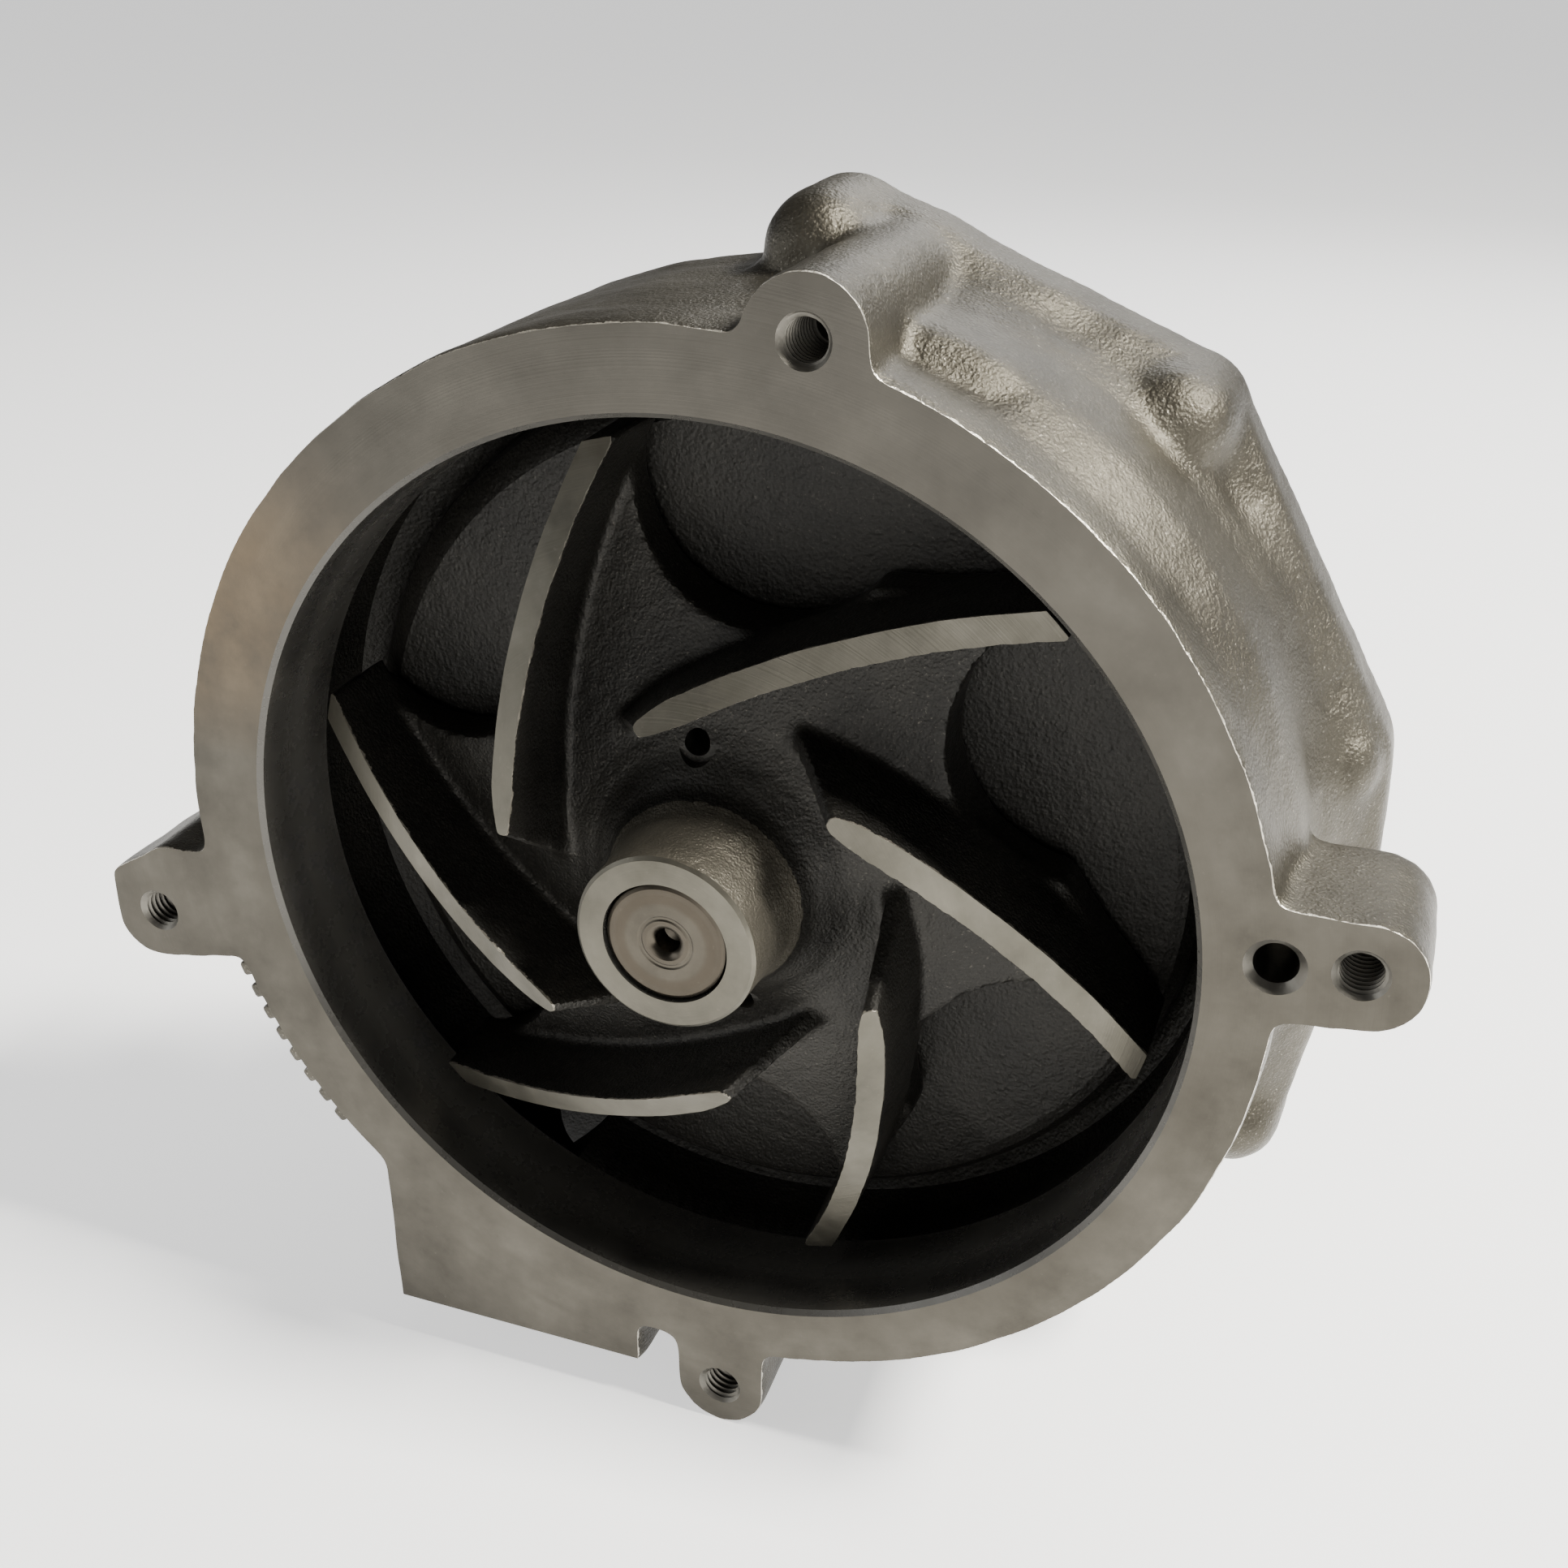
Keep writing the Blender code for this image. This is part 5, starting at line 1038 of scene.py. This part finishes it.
def makePulley():
    p = pulley
    rear = p["web"] + p["webThick"]
    outer, inner = p["radius"], p["radius"] - p["rim"]
    front = rear - p["ribs"] * p["ribPitch"] - 2 * p["flange"]
    profile = [(outer - 0.0010, rear), (outer - 0.0003, rear - 0.0003), (outer, rear - 0.0010)]
    y = rear - p["flange"]
    profile.append((outer, y))
    for i in range(p["ribs"]):
        low, high = outer - p["ribDepth"], outer - (0.0005 if i < p["ribs"] - 1 else 0.0)
        profile += [(low, y - p["ribPitch"] * 0.43), (low, y - p["ribPitch"] * 0.57)]
        y -= p["ribPitch"]
        profile += [(high, y + p["ribPitch"] * 0.06), (high, y - p["ribPitch"] * 0.06 * (i < p["ribs"] - 1))]
    profile += [(outer, front + 0.0010), (outer - 0.0003, front + 0.0003), (outer - 0.0010, front),
                (inner + 0.0006, front), (inner, front + 0.0006), (inner, p["web"] - 0.0050),
                (inner - 0.0012, p["web"] - 0.0016), (inner - 0.0045, p["web"]), (0.0400, p["web"]),
                (p["bore"], p["web"]), (p["bore"], rear - 0.0006), (p["bore"] + 0.0006, rear), (0.0380, rear),
                (0.0390, rear - 0.0006), (0.0600, rear - 0.0006), (0.0610, rear)]
    piece = meshFrom(spinProfile(profile, 160, True), "ribbedPulley", pulleyPaint)
    cutters = []
    for i in range(4):
        x, z = polar(p["boltCircle"], 45 + 90 * i)
        hole = spinProfile([(0, 0.13), (0.0033, 0.13), (0.0033, 0.16), (0, 0.16)], 28)
        cutters.append(shiftObject(meshFrom(hole, "hole", pulleyPaint), x, z))
        x, z = polar(p["windowCircle"], 90 + 90 * i)
        window = spinProfile([(0, 0.13), (p["window"], 0.13), (p["window"], rear - 0.0016),
                              (p["window"] + 0.002, rear + 0.0004),
                              (p["window"] + 0.002, 0.16), (0, 0.16)], 48)
        cutters.append(shiftObject(meshFrom(window, "window", pulleyPaint), x, z))
    carve(piece, cutters)
    finishPiece(piece, "rotor", ["drive_pulley"])


def makeHub():
    y0, thick, r = 0.1372, 0.007, 0.036
    profile = [(0.0118, y0), (r - 0.0012, y0), (r - 0.0003, y0 + 0.0003), (r, y0 + 0.0012),
               (r, y0 + thick - 0.0010),
               (r - 0.0010, y0 + thick), (0.0199, y0 + thick), (0.0195, y0 + thick + 0.0004),
               (0.0195, 0.1502),
               (0.0187, 0.1511), (0.0126, 0.1512), (0.0118, 0.1504)]
    piece = meshFrom(spinProfile(profile, 112, True), "turnedHub", shaftSteel)
    cutters = []
    for i in range(4):
        x, z = polar(pulley["boltCircle"], 45 + 90 * i)
        hole = spinProfile([(0, 0.13), (0.0033, 0.13), (0.0033, 0.16), (0, 0.16)], 28)
        cutters.append(shiftObject(meshFrom(hole, "hole", threadSteel), x, z))
    carve(piece, cutters)
    finishPiece(piece, "rotor", ["pulley_hub"])


def screwMesh(radius, length, across, height):
    # hexagon flange screw, seat at y = 0, head towards +Y
    washer = across * 0.66
    shank = [(0, -length), (radius * 0.78, -length), (radius, -length + radius * 0.3), (radius, 0.0)]
    shank += [(washer - 0.0003, 0.0), (washer, 0.0003), (washer, 0.0007), (washer - 0.0004, 0.0011),
              (across * 0.53, 0.0016), (0, 0.0016)]
    body = meshFrom(spinProfile(shank, 48), "screw", zincPlate)
    head = extrudeOutline(arcPoints((0, 0), across / math.sqrt(3), 0, 300, 5), 0.0008, height)
    rimEdges = [e for e in head.edges if all(abs(v.co.y - height) < 1e-7 for v in e.verts)]
    bmesh.ops.bevel(head, geom=rimEdges, offset=across * 0.045, segments=3, profile=0.5, affect="EDGES",
                    material=-1)
    dish = spinProfile([(0, height - 0.0005), (across * 0.30, height - 0.0005),
                        (across * 0.34, height + 0.0004),
                        (across * 0.34, height + 0.003), (0, height + 0.003)], 48)
    headPiece = meshFrom(head, "head", zincPlate)
    carve(headPiece, [meshFrom(dish, "dish", zincPlate)])
    union = body.modifiers.new("join", "BOOLEAN")
    union.operation = "UNION"
    union.solver = "EXACT"
    union.object = headPiece
    applyModifiers(body)
    bpy.data.objects.remove(headPiece, do_unlink=True)
    mesh = body.data
    bpy.data.objects.remove(body, do_unlink=True)
    return mesh


def makeScrews():
    sets = [("carrierScrew", "housing_bolt_", 6, carrier["boltCircle"], carrier["boltStart"], 60,
             (0.004, 0.0235, 0.0130, 0.0085), carrier["flangeY"] + carrier["flangeThick"] + 0.0003,
             "pump_body"),
            ("pulleyScrew", "pulley_bolt_", 4, pulley["boltCircle"], 45, 90,
             (0.003, 0.0110, 0.0100, 0.0062), pulley["web"] + pulley["webThick"] + 0.0003, "rotor")]
    for name, node, count, circle, start, step, sizes, seat, body in sets:
        mesh = screwMesh(*sizes)
        for i in range(count):
            x, z = polar(circle, start + step * i)
            copy = mesh.copy()
            copy.transform(Matrix.Translation((x, seat, z)) @ Matrix.Rotation(rad(17 + 41 * i), 4, "Y"))
            piece = bpy.data.objects.new("%s%d" % (name, i + 1), copy)
            bpy.context.scene.collection.objects.link(piece)
            finishPiece(piece, body, [node + str(i + 1)])


makeCasing()
makeImpeller()
makeShaft()
makeCarrier()
makePulley()
makeHub()
makeScrews()
print("pieces built")


# ---- finishes for the CAD nodes that stay

slotFinish = {"cast_iron": castIron, "impeller_iron": shadedImpellerIron, "shaft_steel": shaftSteel,
              "bearing_steel": bearingSteel, "cage_steel": cageSteel, "zinc_plated": zincPlate,
              "pulley_black": pulleyPaint, "black_rubber": blackRubber, "gasket_fibre": gasketFibre,
              "seal_ceramic": sealCeramic, "seal_carbon": sealCarbon}
for part in record["subparts"]:
    node = frame["nodes"][part["node"]]
    finish = slotFinish[part["material_slot"]]
    if not node.material_slots:
        node.data.materials.append(finish)
    for place in node.material_slots:
        place.material = finish
print("CAD nodes finished")


# ---- floor, light and camera

studio = {"floorDrop": 0.0005, "floorSize": 60.0, "floorGlow": 0.95, "sky": 0.10,
          "skyColour": (1.0, 0.98, 0.95)}


def makeFloor():
    bm = bmesh.new()
    bmesh.ops.create_grid(bm, x_segments=1, y_segments=1, size=studio["floorSize"] / 2)
    low = cadBox[0].z - studio["floorDrop"]
    bmesh.ops.translate(bm, verts=bm.verts, vec=(0, 0, low))
    material, tree, shader, coords = startMaterial("paleFloor")
    tone = noiseNode(tree, coords, 3.0, 2.0)
    plug(tree, shader, "Base Color", mixColour(tree, tone, (0.90, 0.90, 0.90), (0.94, 0.94, 0.94)))
    shader.inputs["Roughness"].default_value = 0.9
    shader.inputs["Emission Color"].default_value = (1.0, 1.0, 1.0, 1.0)
    shader.inputs["Emission Strength"].default_value = studio["floorGlow"]
    meshFrom(bm, "paleFloor", material)


def makeLight(name, place, aim, size, power, colour):
    data = bpy.data.lights.new(name, "AREA")
    data.shape = "RECTANGLE"
    data.size, data.size_y = size
    data.energy = power
    data.color = colour
    lamp = bpy.data.objects.new(name, data)
    lamp.location = place
    lamp.rotation_euler = (Vector(aim) - Vector(place)).to_track_quat("-Z", "Y").to_euler()
    bpy.context.scene.collection.objects.link(lamp)


def makeWorld():
    world = bpy.data.worlds.new("studio")
    bpy.context.scene.world = world
    world.use_nodes = True
    tree = world.node_tree
    tree.nodes.clear()
    seen = addNode(tree, "ShaderNodeBackground", {"Color": (1, 1, 1, 1), "Strength": 1.0})
    lit = addNode(tree, "ShaderNodeBackground",
                  {"Color": (*studio["skyColour"], 1), "Strength": studio["sky"]})
    path = addNode(tree, "ShaderNodeLightPath")
    mix = addNode(tree, "ShaderNodeMixShader",
                  {0: path.outputs["Is Camera Ray"], 1: lit.outputs[0], 2: seen.outputs[0]})
    addNode(tree, "ShaderNodeOutputWorld", {"Surface": mix.outputs[0]})


def makeCamera():
    data = bpy.data.cameras.new("camera")
    data.sensor_width = 36.0
    data.lens = 41.0
    data.clip_start = 0.005
    data.clip_end = 50.0
    camera = bpy.data.objects.new("camera", data)
    bpy.context.scene.collection.objects.link(camera)
    right = Vector((0.9392, 0.3434, 0.0))
    back = Vector((0.3074, -0.8408, 0.4456))
    up = back.cross(right)
    turn = Matrix((right, up, back)).transposed().to_4x4()
    camera.matrix_world = Matrix.Translation((0.10521, -0.24090, 0.15516)) @ turn
    bpy.context.scene.camera = camera


makeFloor()
makeWorld()
makeLight("keyLight", (0.85, 0.05, 1.05), (0, 0.02, 0), (0.26, 0.26), 58.0, (1.0, 0.97, 0.90))
makeLight("frontLight", (0.25, -1.1, 0.15), (0, 0, 0), (0.8, 0.4), 3.2, (1.0, 0.98, 0.95))
makeLight("sideLight", (-0.9, -0.4, 0.35), (0, 0, 0), (0.6, 0.6), 2.6, (0.96, 0.98, 1.0))
makeLight("backLight", (0.2, 1.1, 0.7), (0, 0.05, 0), (0.9, 0.6), 8.0, (1.0, 1.0, 1.0))
makeCamera()
print("studio ready")
